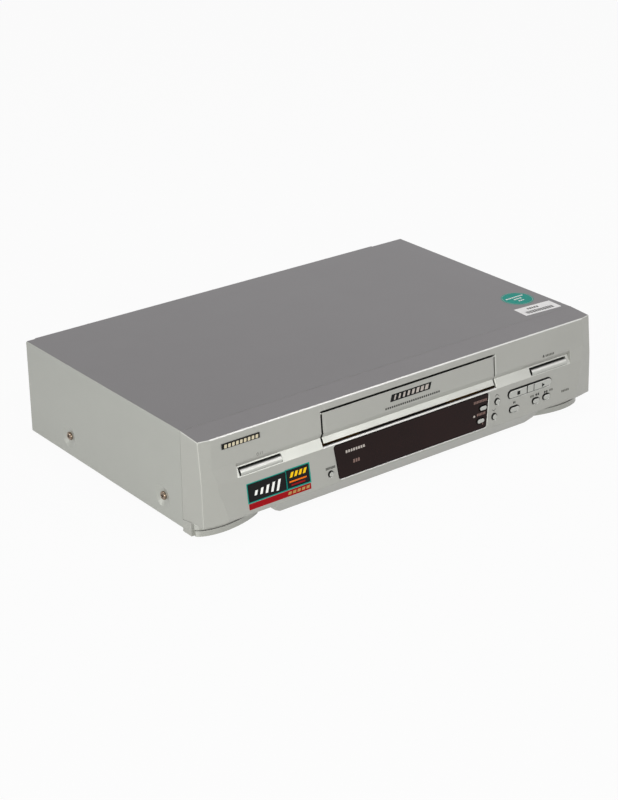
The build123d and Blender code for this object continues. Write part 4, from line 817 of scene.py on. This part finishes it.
mark("fast_forward_mark", arrows(0), "front_panel", 155.8, 30.1, "black")

FRONT_WORDS = ((10.8, 6, 162.9, 62.7), (4.6, 3, 138.8, 30.2), (4.4, 3, 162.2, 30.3),
               (9.6, 5, 179.6, 25.1))
for number, (wide, bars, x, z) in enumerate(FRONT_WORDS):
    mark(f"front_word_{number}", word(wide, bars), "front_panel", x, z, "faint")
print("words on the fascia:", len(FRONT_WORDS))

# %% Marks on the keys and in the window
mark("stop_mark", [bar(0, 0, 3.5, 3.5)], "stop_button", 122.1, 38.4, "black", "stop_key")
mark("play_mark", [triangle(0, 0, 2.3)], "play_button", 151.6, 37.9, "black", "play_key")
mark("record_mark", [disc(0, 0, 1.1)], "display_window", 69.8, 30.0, "pale")
mark("record_light", [disc(0, 0, 0.7)], "display_window", 79.1, 21.1, "rose")
mark("timer_word", word(15.6, 9, 2.2), "display_window", 77.6, 42.0, "rose")
mark("record_word", word(10.2, 6, 2.2), "display_window", 77.9, 30.4, "rose")
mark("window_print", word(21.0, 8, 2.3), "display_window", -62.4, 38.8, "pale")
mark("window_sign", word(7.5, 3, 3.0), "display_window", -61.9, 28.7, "rose")

# %% [markdown]
# ## The motif on the flap and the badge
# The flap carries a dark slanted motif in its middle with a fine line of print under it. Here it
# is a plain row of slanted bars on a dark ground, and the print is a row of short dashes. The
# badge at the left is a dark plate with raised, plated blocks on it, the height and pitch of
# small letters.

# %% Flap motif
FLAP_MOTIF = (1.0, 71.0)
FLAP_SLANT = 0.35

mark("flap_motif", [bar(0, 0, 44.0, 6.2, FLAP_SLANT, corner=0.4)], "cassette_door", *FLAP_MOTIF,
     "black", "door")
stripes = [bar(-17.5 + 5.0 * k, 0, 1.5 + 0.28 * k, 4.0, FLAP_SLANT) for k in range(8)]
lay(joined("flap_motif_stripes", stripes), surface_frame("cassette_door", *FLAP_MOTIF), "door",
    inks["pale"], lift=PRINT)
mark("flap_fine_print", word(61.0, 26, 1.7), "cassette_door", 2.5, 63.2, "dark", "door")
print("stripes on the flap:", len(stripes))

# %% Badge blocks
BLOCK_THICK = 0.3 * MM
BLOCK_PITCH, BLOCK_WIDE, BLOCK_HIGH = 3.8, 2.5, 3.0

blocks = [bar(-15.2 + BLOCK_PITCH * k, 0, BLOCK_WIDE, BLOCK_HIGH, slant=0.12, corner=0.5,
              thick=BLOCK_THICK) for k in range(9)]
lay(joined("badge_blocks", blocks), surface_frame("badge_plate", -175.25, 77.7), "case",
    finishes["badge_chrome"])
print("blocks on the badge:", len(blocks))

# %% [markdown]
# ## The sticker under the power key
# A printed vinyl sticker: two black fields with a teal edge, a red strip under both, and bright
# accents. The design here is a plain one in the same colours and scale: growing white bars in the
# left field, yellow bars over an orange and a red line in the right one, and blocks on the strip.
# It is built in layers, as it is printed. Each bar is given by its middle, its width and height.

# %% Promotion sticker
STICKER = (-141.0, 29.5)
LEFT_LEAN, RIGHT_LEAN = -0.03, -0.05
sticker = surface_frame("front_panel", *STICKER)


def layer(name, shapes, colour, depth):
    """One printed layer, with so many others under it."""
    return lay(joined(name, shapes), sticker, "case", inks[colour], lift=depth * PRINT)


layer("sticker_edge", [bar(-13.0, 2.6, 39.4, 17.4, LEFT_LEAN, corner=0.5),
                       bar(18.2, 2.9, 25.2, 18.0, RIGHT_LEAN, corner=0.5)], "teal", 0)
layer("sticker_black", [bar(-13.0, 2.7, 37.6, 15.6, LEFT_LEAN, corner=0.3),
                        bar(18.3, 3.0, 22.8, 15.9, RIGHT_LEAN, corner=0.3)], "black", 1)
layer("sticker_red", [bar(-0.6, -8.9, 62.4, 5.2, LEFT_LEAN, corner=0.3)], "red", 1)
layer("sticker_white_bars",
      [bar(-24.0 + 5.6 * k, 1.6, 2.4, 4.0 + 1.3 * k, slant=0.3) for k in range(5)], "white", 2)
layer("sticker_yellow_bars",
      [bar(12.0 + 4.4 * k, 6.2, 2.6, 4.4, slant=0.4) for k in range(4)], "yellow", 2)
layer("sticker_orange_bar", [bar(18.0, 0.4, 17.5, 1.3, RIGHT_LEAN)], "orange", 2)
layer("sticker_red_bar", [bar(18.0, -2.6, 14.0, 1.3, RIGHT_LEAN)], "red", 2)
layer("sticker_sand_blocks",
      [bar(9.0 + 4.6 * k, -8.9, 3.2, 2.4, slant=0.3) for k in range(5)], "sand", 2)
print("sticker at", [round(v / MM, 1) for v in sticker.translation], "mm")

# %% [markdown]
# ## Label and seal on the cover
# On the cover's right front corner sit a round teal seal and a white paper label. Both are thin
# discs and sheets on a level surface, so they need no ray, only the cover's height.


# %% Cover seal
def on_cover(x, y, turn=0.0):
    """A place on the cover, in mm, turned by degrees."""
    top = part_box("top_cover")[1].z
    return Matrix.Translation((x * MM, y * MM, top)) @ Matrix.Rotation(radians(turn), 4, "Z")


SEAL = (189.4, -61.4)
SEAL_RADIUS, SEAL_SIDES = 15.0, 72
SEAL_ROWS = ((4.0, [2.0, 1.2, 1.6, 2.2, 1.2, 1.8, 1.4, 1.6, 1.8]), (-0.6, [1.8, 1.4, 1.2, 2.2]),
             (-5.4, [1.4, 1.8, 1.2]))

lay(joined("seal_disc", [disc(0, 0, SEAL_RADIUS, SEAL_SIDES)]), on_cover(*SEAL), "case",
    inks["teal"])
lay(joined("seal_ring", [ring(0, 0, 14.2, 0.3)]), on_cover(*SEAL), "case", inks["pale"],
    lift=PRINT)
seal_bars = []
for row, lengths in SEAL_ROWS:
    seal_bars += dashes(lengths, high=1.9, gap=0.7, v=row)
lay(joined("seal_bars", seal_bars), on_cover(*SEAL), "case", inks["white"], lift=PRINT)
print("bars on the seal:", len(seal_bars))

# %% Cover label
LABEL = (187.4, -90.2)
LABEL_TURN = -4.0
LABEL_WORD = [1.6, 2.0, 1.4, 2.2, 1.8]
LINES, LINE_PITCH, LINE_WIDE, LINE_HIGH = 30, 1.05, 0.35, 5.0

lay(joined("label_paper", [bar(0, 0, 41.5, 17.6, corner=0.6)]), on_cover(*LABEL, LABEL_TURN),
    "case", inks["white"])
label_lines = [bar(-16.0 + LINE_PITCH * k, -3.6, LINE_WIDE + LINE_WIDE * (k * 7 % 3) / 2,
                   LINE_HIGH) for k in range(LINES)]
label_lines += dashes(LABEL_WORD, high=2.6, gap=0.9, u=-3.0, v=3.6)
lay(joined("label_print", label_lines), on_cover(*LABEL, LABEL_TURN), "case", inks["black"],
    lift=PRINT)
print("lines on the label:", len(label_lines))
